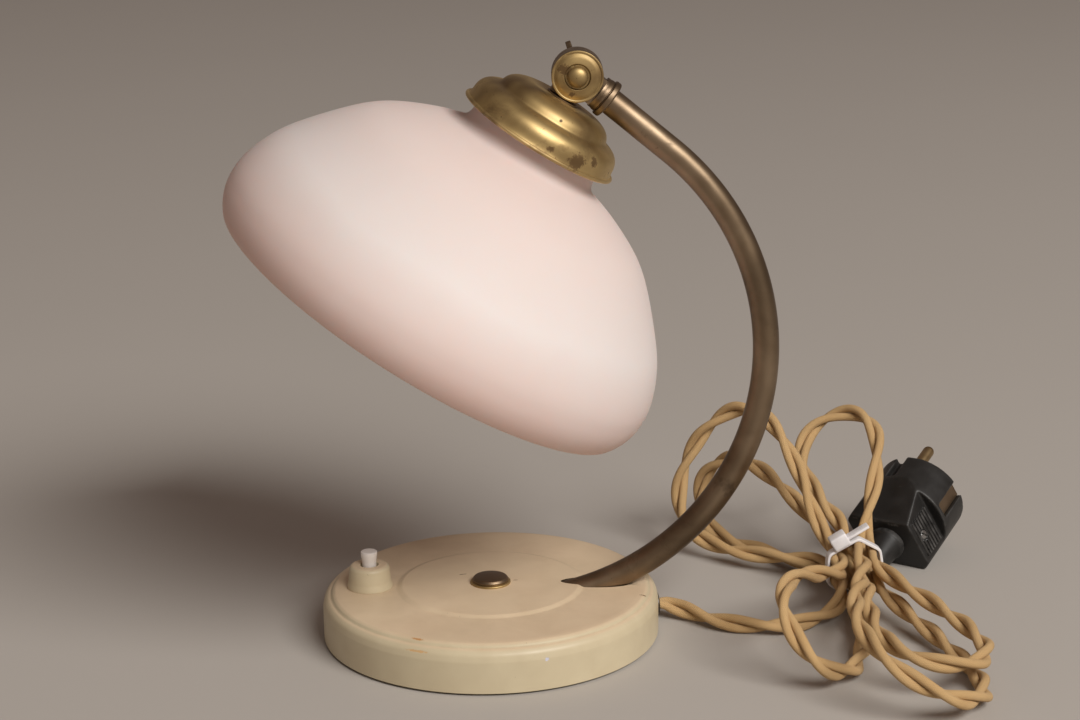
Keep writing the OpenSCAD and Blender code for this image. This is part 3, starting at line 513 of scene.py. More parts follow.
def evaluated(holder):  # plain mesh of an object with its modifiers, which then goes
    mesh = bpy.data.meshes.new_from_object(holder.evaluated_get(bpy.context.evaluated_depsgraph_get()))
    bpy.data.objects.remove(holder)
    return mesh


def holderOf(mesh):
    return newObject("holder", mesh)


def cutBy(mesh, cutters):
    holder = holderOf(mesh)
    tools = [holderOf(cutter) for cutter in cutters]
    for tool in tools:
        modifier = holder.modifiers.new("cut", "BOOLEAN")
        modifier.object = tool
        modifier.solver = "EXACT"
    result = evaluated(holder)
    for tool in tools:
        bpy.data.objects.remove(tool)
    return result


def nodeCopy(node):  # a CAD node's triangles, merged
    shape = bmesh.new()
    shape.from_mesh(nodes[node].data)
    bmesh.ops.remove_doubles(shape, verts=shape.verts, dist=1e-6)
    return shape


def softened(node, voxel, passes):  # a moulded copy of a node: its edges are rounded by remeshing
    holder = holderOf(asMesh(node, nodeCopy(node)))
    remesh = holder.modifiers.new("moulded", "REMESH")
    remesh.mode = "VOXEL"
    remesh.voxel_size = voxel * mm
    smooth = holder.modifiers.new("eased", "SMOOTH")
    smooth.factor = 0.5
    smooth.iterations = passes
    return evaluated(holder)


def bevelled(node, width, trims=()):  # a copy of a node with its edges broken, trimmed first
    mesh = cutBy(asMesh(node, nodeCopy(node)), trims)
    shape = bmesh.new()
    shape.from_mesh(mesh)
    bmesh.ops.dissolve_limit(shape, angle_limit=math.radians(1), verts=shape.verts, edges=shape.edges)
    holder = holderOf(asMesh(node, shape))
    bevel = holder.modifiers.new("broken", "BEVEL")
    bevel.width = width * mm
    bevel.segments = 3
    bevel.limit_method = "ANGLE"
    bevel.angle_limit = math.radians(40)
    return evaluated(holder)


# Curves led by guide points, drawn as the frame's own are
def curvePoint(guides, i, t):
    weights = ((1 - t) ** 3, 3 * t ** 3 - 6 * t * t + 4, 1 + 3 * t + 3 * t * t - 3 * t ** 3, t ** 3)
    return sum((guides[i + k] * weights[k] for k in range(4)), guides[i] * 0) / 6


def curve(guides, steps):
    last = len(guides) - 4
    points = [curvePoint(guides, i, j / steps) for i in range(last + 1) for j in range(steps)]
    return points + [curvePoint(guides, last, 1)]


def heldCurve(guides, steps):  # a curve that begins and ends at its first and last guides
    return curve([guides[0] * 2 - guides[1], *guides, guides[-1] * 2 - guides[-2]], steps)


def inset(line, wall):  # the same line, a wall's thickness to its left
    points = []
    for i, point in enumerate(line):
        way = (line[min(i + 1, len(line) - 1)] - line[max(i - 1, 0)]).normalized()
        points.append(point + wall * Vector((-way.y, way.x)))
    return points


# Geometry node trees: a bent tube, a row of copies and a thread
def painted(geometry, material):
    tree = geometry.id_data
    real = addNode(tree, "GeometryNodeRealizeInstances", {"Geometry": geometry})[0]
    return {"Geometry": addNode(tree, "GeometryNodeSetMaterial", {"Geometry": real, "Material": material})[0]}


def skinned(line, sides, radius):  # a round skin with closed ends along a curve
    inputs = {"Resolution": sides, "Radius": radius}
    circle = addNode(line.id_data, "GeometryNodeCurvePrimitiveCircle", inputs)[0]
    inputs = {"Curve": line, "Profile Curve": circle, "Fill Caps": True}
    return addNode(line.id_data, "GeometryNodeCurveToMesh", inputs)[0]


def buildTube(given):
    tree = given[0].id_data
    line = addNode(tree, "GeometryNodeCurvePrimitiveLine")[0]
    fine = addNode(tree, "GeometryNodeResampleCurve", {"Curve": line, "Count": given["Rings"]})[0]
    share = addNode(tree, "GeometryNodeSplineParameter")["Factor"]
    bendLength = times(given["Bend Radius"], minus(given["End Angle"], given["Start Angle"]))
    along = times(share, plus(bendLength, given["Run"]))
    onBend = calc("MINIMUM", along, bendLength)
    beyond = minus(along, onBend)
    angle = plus(given["Start Angle"], calc("DIVIDE", onBend, given["Bend Radius"]))
    cosine = calc("COSINE", angle)
    sine = calc("SINE", angle)
    bendX = calc("MULTIPLY_ADD", given["Bend Radius"], cosine, given["Centre X"])
    bendZ = calc("MULTIPLY_ADD", given["Bend Radius"], sine, given["Centre Z"])
    x = minus(bendX, times(beyond, sine))
    z = calc("MULTIPLY_ADD", beyond, cosine, bendZ)
    place = addNode(tree, "ShaderNodeCombineXYZ", {"X": x, "Z": z})[0]
    bent = addNode(tree, "GeometryNodeSetPosition", {"Geometry": fine, "Position": place})[0]
    return painted(skinned(bent, given["Sides"], given["Tube Radius"]), given["Material"])


def buildRow(given):
    tree = given[0].id_data
    line = addNode(tree, "GeometryNodeMeshLine",
        {"Count": given["Count"], "Start Location": given["First"], "Offset": given["Step"]})[0]
    shape = addNode(tree, "GeometryNodeObjectInfo", {"Object": given["Shape"]})["Geometry"]
    copies = addNode(tree, "GeometryNodeInstanceOnPoints", {"Points": line, "Instance": shape})[0]
    return painted(copies, given["Material"])


def buildThread(given):
    tree = given[0].id_data
    spiral = addNode(tree, "GeometryNodeCurveSpiral", {"Resolution": 48, "Rotations": given["Turns"],
        "Start Radius": given["Radius"], "End Radius": given["Radius"], "Height": given["Length"]})[0]
    return painted(skinned(spiral, 8, given["Ridge"]), given["Material"])


trees = {name: newGroup(title, "GeometryNodeTree", {**inputs, "Material": "Material"}, build)
    for name, title, inputs, build in (
        ("tube", "bentTube", {"Centre X": 0.0, "Centre Z": 0.1, "Bend Radius": 0.1, "Start Angle": 0.0,
            "End Angle": 1.0, "Run": 0.03, "Tube Radius": 0.005, "Rings": 120, "Sides": 32}, buildTube),
        ("row", "rowOfCopies", {"Shape": "Object", "Count": 5, "First": "Vector", "Step": "Vector"},
            buildRow),
        ("thread", "threadRidge", {"Turns": 5.0, "Radius": 0.01, "Length": 0.02, "Ridge": 0.0005},
            buildThread))}


def grown(treeName, finish, place=upright, **values):  # the plain mesh that a tree makes
    tree = trees[treeName]
    holder = holderOf(bpy.data.meshes.new(treeName))
    modifier = holder.modifiers.new("grown", "NODES")
    modifier.node_group = tree
    sockets = {item.name.replace(" ", ""): item.identifier for item in tree.interface.items_tree
        if item.in_out == "INPUT"}
    modifier[sockets["Material"]] = finishes[finish]
    for label, value in values.items():
        modifier[sockets[label[0].upper() + label[1:]]] = value
    mesh = evaluated(holder)
    mesh.transform(place)
    return mesh


def block(name, size, bevel, place=upright):  # a bar with broken edges, size in mm
    shape = bmesh.new()
    bmesh.ops.create_cube(shape, size=1, matrix=Matrix.Diagonal((*[side * mm for side in size], 1)))
    bmesh.ops.bevel(shape, geom=shape.edges[:], offset=bevel * mm, segments=3, profile=0.5, affect="EDGES")
    return asMesh(name, shape, place)


# Camera: found by lining the frame up with the photograph, which is 1080 pixels wide
viewpoint = {"place": (20.51, -910.5, 365.3), "pitch": 15.72, "roll": -0.89, "focalPixels": 2500,
    "framePixels": 1080, "sensor": 36.0, "clipEnd": 50.0}


def makeCamera():
    lens = bpy.data.cameras.new("camera")
    lens.sensor_width = viewpoint["sensor"]
    lens.lens = viewpoint["focalPixels"] / viewpoint["framePixels"] * viewpoint["sensor"]
    lens.clip_end = viewpoint["clipEnd"]
    camera = newObject("camera", lens)
    level = placed(Vector(viewpoint["place"]) * mm, x=90 - viewpoint["pitch"])
    camera.matrix_world = level @ placed((0, 0, 0), z=viewpoint["roll"])
    bpy.context.scene.camera = camera


makeCamera()
print("camera set")

# Cord: a twisted pair along the frame's route, from inside the base to the plug, in mm
cord = {
    "width": 7.0, "core": 1.75, "twist": 50.0, "wander": 0.5, "wanderLength": 37.0, "sides": 12,
    "spacing": 1.6, "steps": 12, "innerEnd": 57.0, "floor": 3.7, "leadStep": 3.5, "tailStep": 5.0,
    "lead": [(70.5, 10.8, 5), (75.5, 7.5, 4.3), (82.5, 1.5, 3.8), (92, -6, 3.7), (104, -10, 3.7),
        (116, -9, 3.7), (127, -3, 3.7), (136, 7, 3.9)],
    "pitch": 8.0, "lanes": [210, 150, 270, None, 30, 90, 330], "passHalf": 13.0,
    "tieAt": (145.0, 28.0, 13.3), "tieAzimuth": -84.0,
    "loops": [(134, 22, 85, 34, 111), (-108, 1, 90, 26, -54), (129, 9, 92, 20, 108), (-78, -1, 97, 21, -8),
        (93, 31, 72, 19, -31), (-85, -2, 120, 29, -29)],  # azimuth, rise, length, half width, lean
    "loopPoints": 8, "loopGain": 1.54,
}
plug = {"rise": math.degrees(math.atan(8 / 21)), "yaw": 34.0, "turn": -20.0, "relief": 14.0, "gripHalf": 11.0,
    "at": (155.8, 53.2), "clear": 0.2}


def around(azimuth, rise=0.0):
    a, e = math.radians(azimuth), math.radians(rise)
    return Vector((math.cos(a) * math.cos(e), math.sin(a) * math.cos(e), math.sin(e)))


plugRise = math.radians(plug["rise"])
plugHeight = plug["gripHalf"] * math.cos(plugRise) - plug["relief"] * math.sin(plugRise) + plug["clear"]
plugEnd = Vector((*plug["at"], plugHeight))
plugWay = around(90 - plug["yaw"], plug["rise"])
plugFrame = placed(plugEnd * mm, x=plug["rise"] - 90, z=-plug["yaw"])
tieFrame = placed(Vector(cord["tieAt"]) * mm, x=90, z=cord["tieAzimuth"] + 90)


def laneCentre(i):
    angle = cord["lanes"][i]
    if angle is None:
        return Vector(cord["tieAt"])
    out = math.cos(math.radians(angle)) * around(cord["tieAzimuth"] + 90)
    return Vector(cord["tieAt"]) + cord["pitch"] * (out + math.sin(math.radians(angle)) * Vector((0, 0, 1)))


def passEnd(i, way):
    return laneCentre(i) + way * cord["passHalf"] * around(cord["tieAzimuth"])


def loopPoints(start, end, loop):
    azimuth, rise, length, half, lean = loop
    out = around(azimuth, rise)
    level = around(azimuth + 90)
    across = level * math.cos(math.radians(lean)) + out.cross(level) * math.sin(math.radians(lean))
    points = []
    for k in range(1, cord["loopPoints"]):
        t = k / cord["loopPoints"]
        swell = (1 - math.cos(math.tau * t)) / 2
        side = half * cord["loopGain"] * math.sin(math.tau * t) * swell
        points.append(start.lerp(end, t) + length * swell * out - side * across)
    return points


def cordRoute():
    away = around(exitWay["azimuth"])
    lift = Vector((0, 0, exitWay["height"]))
    points = [Vector(point) for point in cord["lead"]]
    for i, loop in enumerate(cord["loops"]):
        way = -1 if i % 2 == 0 else 1
        points += [passEnd(i, -way), laneCentre(i), passEnd(i, way)]
        points += loopPoints(passEnd(i, way), passEnd(i + 1, way), loop)
    lastLane = len(cord["loops"])
    front = passEnd(lastLane, 1)
    step = cord["tailStep"] * plugWay
    points += [front, (6 * laneCentre(lastLane) - front - (plugEnd - step)) / 4]  # through the lane
    points = [Vector((p.x, p.y, max(p.z, cord["floor"]))) for p in points]
    start = [(exitWay["face"] + k * cord["leadStep"]) * away + lift for k in (-1, 0, 1)]
    guides = start + points + [plugEnd - step, plugEnd, plugEnd + step]
    line = curve(guides, cord["steps"])
    return [cord["innerEnd"] * away + lift, *line, plugEnd + plugWay]


def evenly(line, spacing):  # points along a line at an even spacing
    lengths = [0.0]
    for a, b in zip(line, line[1:]):
        lengths.append(lengths[-1] + (b - a).length)
    count = round(lengths[-1] / spacing)
    points, i = [], 0
    for k in range(count + 1):
        want = lengths[-1] * k / count
        while i < len(line) - 2 and lengths[i + 1] < want:
            i += 1
        points.append(line[i].lerp(line[i + 1], (want - lengths[i]) / (lengths[i + 1] - lengths[i])))
    return points, lengths[-1]


def ringFrames(line):  # two directions across a line that don't twist as it runs
    frames = []
    side = Vector((0, 0, 1))
    for i in range(len(line)):
        way = (line[min(i + 1, len(line) - 1)] - line[max(i - 1, 0)]).normalized()
        side = (side - side.dot(way) * way).normalized()
        frames.append((side.copy(), way.cross(side)))
    return frames


def addTube(shape, uvLayer, line, radius, sides):
    frames = ringFrames(line)
    rings, run, length = [], [], 0.0
    for i, (point, (a, b)) in enumerate(zip(line, frames)):
        length += (point - line[i - 1]).length if i else 0
        run.append(length)
        rings.append([shape.verts.new((point + radius * (a * math.cos(math.tau * k / sides)
            + b * math.sin(math.tau * k / sides))) * mm) for k in range(sides)])
    for i in range(len(rings) - 1):
        for k in range(sides):
            corners = ((i, k), (i, k + 1), (i + 1, k + 1), (i + 1, k))
            face = shape.faces.new([rings[ring][side % sides] for ring, side in corners])
            for loop, (ring, side) in zip(face.loops, corners):
                loop[uvLayer].uv = (side / sides, run[ring])
    shape.faces.new(list(reversed(rings[0])))
    shape.faces.new(rings[-1])


def makeCord():
    route, length = evenly(cordRoute(), cord["spacing"])
    frames = ringFrames(route)
    shape = bmesh.new()
    uvLayer = shape.loops.layers.uv.new("cloth")
    strands = []
    for phase in (0, math.pi):
        strand = []
        for i, (point, (a, b)) in enumerate(zip(route, frames)):
            along = length * i / (len(route) - 1)
            wander = cord["wander"] * math.sin(along / cord["wanderLength"])
            turn = math.tau * along / cord["twist"] + phase + wander
            strand.append(point + cord["core"] * (a * math.cos(turn) + b * math.sin(turn)))
        addTube(shape, uvLayer, strand, cord["core"], cord["sides"])
        strands += strand
    bmesh.ops.recalc_face_normals(shape, faces=shape.faces)
    piece = addPiece("twistedCord", asMesh("twistedCord", shape), "braidedCloth", "base",
        ["cord_lead", "cord_bundle", "cord_inner"], crease=70)
    return piece, route, strands, length * mm


cordPiece, cordLine, cordStrands, cordLength = makeCord()
print("cord laid:", round(cordLength, 3), "m")

# Base: pressed shell with two tiers and a low platform; the arm and the cord go through it
base = {
    "outline": [(4.45, 19.8, 0), (4.45, 18.6, 0), (34.2, 18.6, 0), (35.7, 17.8, 0), (59.8, 17.8, 1.2),
        (59.8, 15.6, 0), (63.8, 15.6, 1.5), (63.8, 0.8, 0), (65.0, 0.8, 0.3), (65.0, 13.0, 4.0),
        (64.4, 15.8, 3.0), (63.0, 17.15, 2.5), (61.9, 17.5, 1.5), (61.2, 18.3, 1.5), (60.2, 18.88, 2.0),
        (58.2, 19.0, 4.0), (36.4, 19.0, 3.0), (34.3, 19.8, 3.0)],
    "segments": 180, "armGap": 0.4, "armHole": (0.0, 1.0), "cordHole": 4.2, "cordHoleEnds": (50, 80),
}


def armBend(radius, end, run):  # a tube along the arm's bend to an angle, and straight on from there
    x, z = arm["centre"]
    return grown("tube", "darkBrass", centreX=x * mm, centreZ=z * mm, bendRadius=arm["bend"] * mm,
        startAngle=math.radians(arm["start"]), endAngle=math.radians(end), run=run * mm,
        tubeRadius=radius * mm, rings=arm["rings"], sides=arm["sides"])


basePart = turned("baseShell", [filleted(base["outline"])], upright, base["segments"])
armHole = armBend(arm["radius"] + base["armGap"], *base["armHole"])
cordHole = drum("cordHole", base["cordHole"], base["cordHoleEnds"], exitFrame)
addPiece("baseShell", cutBy(basePart, [armHole, cordHole]), "creamEnamel", "base")

collar = {"segments": 128, "outline": [(5.15, 19.0, 0), (8.9, 19.0, 0.1), (8.85, 19.6, 0.25),
    (8.3, 21.6, 3.0), (7.6, 28.0, 1.7), (3.5, 28.0, 0.5), (3.15, 26.2, 0), (5.15, 26.2, 0)]}
addTurned("switchCollar", collar, switchFrame, "creamEnamel", "base")
button = {"segments": 128, "outline": [(0, 15.1, 0), (4.0, 15.1, 0.2), (4.0, 16.6, 0.2), (2.75, 16.6, 0),
    (2.75, 29.4, 1.5), (3.2, 31.9, 2.0), (3.2, 33.45, 0.55), (0, 33.5, 0)]}
addTurned("switchButton", button, switchFrame, "buttonWhite", "button")

spring = {"radius": 3.1, "wire": 0.35, "turns": 5.0}


def makeSpring():  # a coil between the two ends of the frame's spring
    low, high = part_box("switch_spring")
    foot = switchFrame @ Vector((0, 0, low[2] + spring["wire"] * mm))
    head = switchFrame @ Vector((0, 0, high[2] - spring["wire"] * mm))
    coil = grown("thread", "zincSteel", placed(foot), turns=spring["turns"], radius=spring["radius"] * mm,
        length=head.z - foot.z, ridge=spring["wire"] * mm)
    piece = addPiece("switchSpring", coil, "zincSteel", None, crease=60)
    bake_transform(piece)


makeSpring()
capNut = {"segments": 96, "outline": [(0, 13.9, 0), (4.25, 13.9, 0), (4.25, 20.6, 0), (6.9, 20.6, 0.15),
    (7.0, 21.4, 0.4), (6.3, 22.3, 0.8), (0, 23.0, 0)]}
addTurned("capNut", capNut, upright, "darkBrass", "base")
capWasher = {"segments": 96, "outline": [(4.45, 19.8, 0), (7.8, 19.8, 0.1), (7.8, 20.6, 0.35),
    (4.45, 20.6, 0)]}
addTurned("capWasher", capWasher, upright, "agedBrass", "base")
grommet = {"segments": 64, "outline": [(3.65, 62.2, 0), (4.9, 62.2, 0), (4.9, 63.4, 0), (4.15, 63.4, 0),
    (4.15, 65.1, 0), (4.9, 65.1, 0.2), (4.8, 66.2, 0.5), (3.65, 66.2, 0.4)]}
addTurned("cordGrommet", grommet, exitFrame, "bakelite", "base")
print("base dressed")

# Arm and tilting joint, with outlines along the arm's end or along the hinge
addPiece("armTube", armBend(arm["radius"], arm["end"], arm["run"]), "darkBrass", "base")
ferrule = {"segments": 96, "outline": [(5.05, 11.1, 0), (6.42, 11.1, 0.06), (6.6, 11.9, 0.8),
    (6.6, 12.6, 0.2), (6.35, 12.75, 0.1), (6.35, 12.95, 0.1), (7.4, 13.0, 0.9), (7.4, 15.4, 1.1),
    (5.9, 15.5, 0.3), (5.05, 15.5, 0)]}
addTurned("armFerrule", ferrule, armFrame, "darkBrass", "base")
disc = {"segments": 96, "outline": [(2.55, -4.6, 0), (9.6, -4.6, 0.2), (9.6, -5.4, 0.25), (9.05, -5.45, 0.3),
    (8.6, -5.25, 0.4), (7.3, -5.9, 3.0), (4.9, -6.25, 0.3), (4.5, -5.75, 0.15), (2.55, -5.75, 0)]}
addTurned("dishedDisc", disc, jointFrame, "agedBrass", "base")
dome = {"radius": 3.8, "foot": -6.2, "drum": 0.6, "height": 2.0, "shank": 2.5, "end": 12.1, "segments": 64}


def domeOutline():
    cap = [(dome["radius"] * math.cos(math.radians(a)), dome["foot"] - dome["drum"] - dome["height"]
        * math.sin(math.radians(a))) for a in range(0, 91, 6)]
    return [(0, dome["end"]), (dome["shank"], dome["end"]), (dome["shank"], dome["foot"]),
        (dome["radius"], dome["foot"]), *cap]


boltMesh = turned("pivotBolt", [domeOutline()], jointFrame, dome["segments"])
addPiece("pivotBolt", boltMesh, "agedBrass", "base")
knuckles = {"armEdge": 0.2, "shadeEdge": 0.45, "trimSegments": 96,
    "trim": [(6.4, 9.75, 0), (12.0, 9.75, 0), (12.0, 11.6, 0), (6.4, 11.6, 0)]}
neckTrim = turned("neckTrim", [filleted(knuckles["trim"])], armFrame, knuckles["trimSegments"])
addPiece("armKnuckle", bevelled("arm_knuckle", knuckles["armEdge"], [neckTrim]), "darkBrass", "base")
addPiece("shadeKnuckle", bevelled("shade_knuckle", knuckles["shadeEdge"]), "darkBrass", "head")
wingNut = {"voxel": 0.22, "passes": 4}
addPiece("wingNut", softened("wing_nut", **wingNut), "darkBrass", "wing", crease=60)
print("joint dressed")

# Gallery, glass, lampholder and bulb, measured along the shade's axis from the hinge
gallery = {"start": 10.5, "reach": 30.8, "wall": 0.8, "bore": 5.05, "roll": 0.8, "rollAt": (30.75, 26.75),
    "steps": 8, "segments": 160,
    "guides": [(0.4, 0), (0.5, 0.2), (0.61, 1.2), (0.69, 2.9), (0.722, 4.9), (0.735, 6.0), (0.785, 6.5),
        (0.86, 7.2), (0.935, 9.0), (0.968, 11.4), (0.972, 13.4), (0.98, 15.2), (1.0, 16.2)]}


def makeGallery():
    start, reach = gallery["start"], gallery["reach"]
    guides = [Vector((share * reach, start + drop)) for share, drop in gallery["guides"]]
    line = [Vector((gallery["bore"], start)), *heldCurve(guides, gallery["steps"])]
    sheet = line + list(reversed(inset(line, gallery["wall"])))
    roll = [Vector(gallery["rollAt"]) + gallery["roll"] * around(15 * k).xy for k in range(24)]
    mesh = turned("galleryCap", [sheet, roll], shadeFrame, gallery["segments"])
    addPiece("galleryCap", mesh, "agedBrass", "head")


glass = {"top": 21.9, "shoulder": 35.8, "neck": 25.8, "wall": 3.0, "hole": 15.0, "radius": 90.0, "drop": 62.0,
    "curl": 20.0, "curlAngle": 37.0, "steps": 8, "segments": 192,
    "neckTop": [(0, 0), (0, 5)], "neckFoot": [(0.1, -5), (1.0, -1.6)],  # out from the neck, and along
    "guides": [(0.333, 0.006), (0.42, 0.043), (0.527, 0.112), (0.65, 0.205), (0.752, 0.35), (0.857, 0.526),
        (0.941, 0.68), (1, 0.895), (1, 1)]}


def makeGlass():
    top, shoulder, wall = glass["top"], glass["shoulder"], glass["wall"]
    guides = [(glass["neck"] + out, top + along) for out, along in glass["neckTop"]]
    guides += [(glass["neck"] + out, shoulder + along) for out, along in glass["neckFoot"]]
    guides += [(share * glass["radius"], shoulder + drop * glass["drop"]) for share, drop in glass["guides"]]
    outer = heldCurve([Vector(point) for point in guides], glass["steps"])
    centre = Vector((glass["radius"] - glass["curl"], shoulder + glass["drop"]))
    outer += [centre + glass["curl"] * around(glass["curlAngle"] * k / 12).xy for k in range(1, 13)]
    inner = inset(outer, wall)
    middle = (outer[-1] + inner[-1]) / 2
    rim = []
    for k in range(1, 8):  # rounded edge of the rim
        angle = math.pi * k / 8
        rim.append(middle + (outer[-1] - middle) * math.cos(angle)
            + (outer[-1] - outer[-2]).normalized() * math.sin(angle) * wall / 2)
    floor = [p for p in reversed(inner) if p.y > top + wall]
    flange = [(inner[0].x, top + wall), (glass["hole"], top + wall), (glass["hole"], top)]
    outline = outer + rim + floor + [Vector(point) for point in flange]
    mesh = turned("glassShade", [outline], shadeFrame, glass["segments"])
    addPiece("glassShade", mesh, "opalGlass", "head")


def addThread(name, settings, radius, finish):  # a raised thread along the shade's axis
    place = shadeFrame @ Matrix.Translation((0, 0, settings["threadFrom"] * mm))
    mesh = grown("thread", finish, place, turns=settings["threadTurns"], radius=radius * mm,
        length=settings["threadLength"] * mm, ridge=settings["ridge"] * mm)
    addPiece(name, mesh, finish, "head", stands=(), crease=60)


makeGallery()
makeGlass()
skirt = {"segments": 96,
    "outline": [(12.4, 23.8, 0), (14.0, 23.8, 0.2), (14.0, 51.8, 0.5), (12.4, 51.8, 0.4)],
    "threadTurns": 8.0, "threadFrom": 31.0, "threadLength": 19.0, "threadRadius": 14.0, "ridge": 0.55}
addTurned("lampholderSkirt", skirt, shadeFrame, "bakelite", "head")
addThread("skirtThread", skirt, skirt["threadRadius"], "bakelite")
bulb = {"cap": 57.0, "capRadius": 6.95, "radius": 22.5, "centre": 86.5, "wall": 0.8, "threadFrom": 50.6,
    "threadLength": 5.0, "threadTurns": 2.0, "ridge": 0.5, "ballFrom": -48, "ballSweep": 138,
    "neck": [(0, 0), (0.3, 3), (2.2, 8)], "steps": 6, "segments": 96}


def makeBulb():
    angles = [bulb["ballFrom"] + bulb["ballSweep"] * k / 30 for k in range(31)]
    ball = [Vector((0, bulb["centre"])) + bulb["radius"] * around(angle).xy for angle in angles]
    neck = [Vector((bulb["capRadius"] + out, bulb["cap"] + along)) for out, along in bulb["neck"]]
    outer = heldCurve([*neck, ball[0]], bulb["steps"])[:-1] + ball
    inner = [p for p in inset(outer, bulb["wall"]) if p.x > 0.2]
    inner.append(Vector((0, bulb["centre"] + bulb["radius"] - bulb["wall"])))
    mesh = turned("bulbGlass", [outer + list(reversed(inner))], shadeFrame, bulb["segments"])
    addPiece("bulbGlass", mesh, "bulbOpal", "head")
    addThread("bulbThread", bulb, bulb["capRadius"], "pinBrass")


makeBulb()
print("shade dressed")

# Cable tie: band, head and a toothed tail
tie = {"radius": 12.1, "slack": 0.15, "segments": 120, "wall": 1.1, "width": 4.6, "edge": 0.4,
    "innerEdge": 0.2, "head": (7.0, 5.4, 6.4), "headEdge": 0.7, "headTurn": 30.0,
    "tail": 10.0, "tailEdge": 0.3, "tailSink": 0.5, "tailLift": 1.0,
    "teeth": 9, "tooth": (0.4, 0.22, 2.6), "toothEdge": 0.1, "toothFrom": 1.0, "toothStep": 0.85}


def tieReaches():  # how far the strands stand out from the tie's middle, all the way round
    within = []
    for point in cordStrands:
        local = tieFrame.inverted() @ (point * mm) / mm
        if abs(local.z) < tie["width"] / 2 + 1 and local.xy.length < tie["radius"]:
            within += [local.xy + (cord["core"] + tie["slack"]) * around(30 * k).xy for k in range(12)]
    hull = [within[i] for i in convex_hull_2d(within)]
    sides = []
    for a, b in zip(hull, hull[1:] + hull[:1]):
        out = Vector((b.y - a.y, a.x - b.x)).normalized()
        sides.append(out if out.dot(a) > 0 else -out)
    reaches = []
    for k in range(tie["segments"]):
        way = around(360 * k / tie["segments"]).xy
        reaches.append(min(out.dot(a) / out.dot(way) for out, a in zip(sides, hull) if out.dot(way) > 0.01))
    return reaches


def makeTie():
    wall, half = tie["wall"], tie["width"] / 2
    reaches = tieReaches()
    section = [(0, -half, tie["innerEdge"]), (wall, -half, tie["edge"]), (wall, half, tie["edge"]),
        (0, half, tie["innerEdge"])]
    band = turned("tieBand", [filleted(section)], tieFrame, tie["segments"], reaches)
    local = tieFrame @ placed((0, 0, 0), z=tie["headTurn"])
    reach = reaches[round((90 + tie["headTurn"]) / 360 * tie["segments"])]
    headAt = Vector((0, reach + wall / 2 + tie["head"][1] / 2, 0)) * mm
    head = block("tieHead", tie["head"], tie["headEdge"], local @ Matrix.Translation(headAt))
    tailAt = Vector((tie["head"][0] / 2 + tie["tail"] / 2 - tie["tailSink"],
        reach + wall * 1.5 + tie["tailLift"], 0)) * mm
    tailSize = (tie["tail"], wall, tie["width"])
    tail = block("tieTail", tailSize, tie["tailEdge"], local @ Matrix.Translation(tailAt))
    toothShape = holderOf(block("tieTooth", tie["tooth"], tie["toothEdge"]))
    firstTooth = tailAt + Vector((-tie["tail"] / 2 + tie["toothFrom"], wall / 2, 0)) * mm
    teeth = grown("row", "tieNylon", local, shape=toothShape, count=tie["teeth"], first=firstTooth,
        step=Vector((tie["toothStep"] * mm, 0, 0)))
    bpy.data.objects.remove(toothShape)
    joined = bmesh.new()
    for mesh in (band, head, tail, teeth):
        joined.from_mesh(mesh)
    return addPiece("cableTie", asMesh("cableTie", joined), "tieNylon", "base")


# Plug: moulded body, grip ribs, a tapered boot for the cord and a slotted screw
plugMould = {"voxel": 0.36, "passes": 18}
plugGrip = {"panel": 13.8, "shift": 2.5, "ribs": 7, "rib": (1.9, 16.4, 0.95), "edge": 0.25, "from": 16.4,
    "step": 1.9}
plugScrew = {"at": 20.1, "radius": 2.0, "foot": 10.8, "top": 14.2, "crown": 0.2, "edge": 0.4, "segments": 48,
    "well": 2.7, "wellOver": 2.0, "slot": (0.7, 6.0, 1.6), "slotEdge": 0.05, "slotTurn": 35.0}
plugBoot = {"segments": 64, "outline": [(0, 0, 0), (5.0, 0, 0.5), (5.6, 1.6, 1.0), (6.9, 11.2, 0.6),
    (7.5, 12.0, 0.4), (7.5, 14.0, 0), (0, 14.0, 0)]}


def makePlug():
    body = addPiece("plugBody", softened("plug_body", **plugMould), "blackMoulding", "base",
        crease=60)
    turnedFrame = plugFrame @ placed((0, 0, 0), z=plug["turn"])
    ribShape = holderOf(block("plugRib", plugGrip["rib"], plugGrip["edge"]))
    joined = bmesh.new()
    for side in (0, 180):
        ribs = grown("row", "blackMoulding", turnedFrame @ placed((0, 0, 0), z=side), shape=ribShape,
            count=plugGrip["ribs"], step=Vector((0, 0, plugGrip["step"] * mm)),
            first=Vector((plugGrip["panel"], plugGrip["shift"], plugGrip["from"])) * mm)
        joined.from_mesh(ribs)
    bpy.data.objects.remove(ribShape)
    screwFrame = turnedFrame @ placed(Vector((0, plugGrip["shift"], plugScrew["at"])) * mm, y=90)
    radius, foot, top = plugScrew["radius"], plugScrew["foot"], plugScrew["top"]
    well = drum("screwWell", plugScrew["well"], (plugGrip["panel"], top + plugScrew["wellOver"]), screwFrame)
    ribMesh = cutBy(asMesh("plugRibs", joined), [well])
    ribPiece = addPiece("plugRibs", ribMesh, "blackMoulding", "base", stands=())
    relief = addTurned("plugRelief", plugBoot, plugFrame, "blackMoulding", "base",
        ["plug_strain_relief"])
    outline = [(0, foot, 0), (radius, foot, 0), (radius, top, plugScrew["edge"]),
        (0, top + plugScrew["crown"], 0)]
    screwMesh = turned("plugScrew", [filleted(outline)], screwFrame, plugScrew["segments"])
    slotFrame = screwFrame @ placed((0, 0, top * mm), z=plugScrew["slotTurn"])
    slot = block("slot", plugScrew["slot"], plugScrew["slotEdge"], slotFrame)
    screw = addPiece("plugScrew", cutBy(screwMesh, [slot]), "zincSteel", "base")
    return [body, ribPiece, relief, screw]


tiePiece = makeTie()
plugPieces = makePlug()
print("tie and plug made")

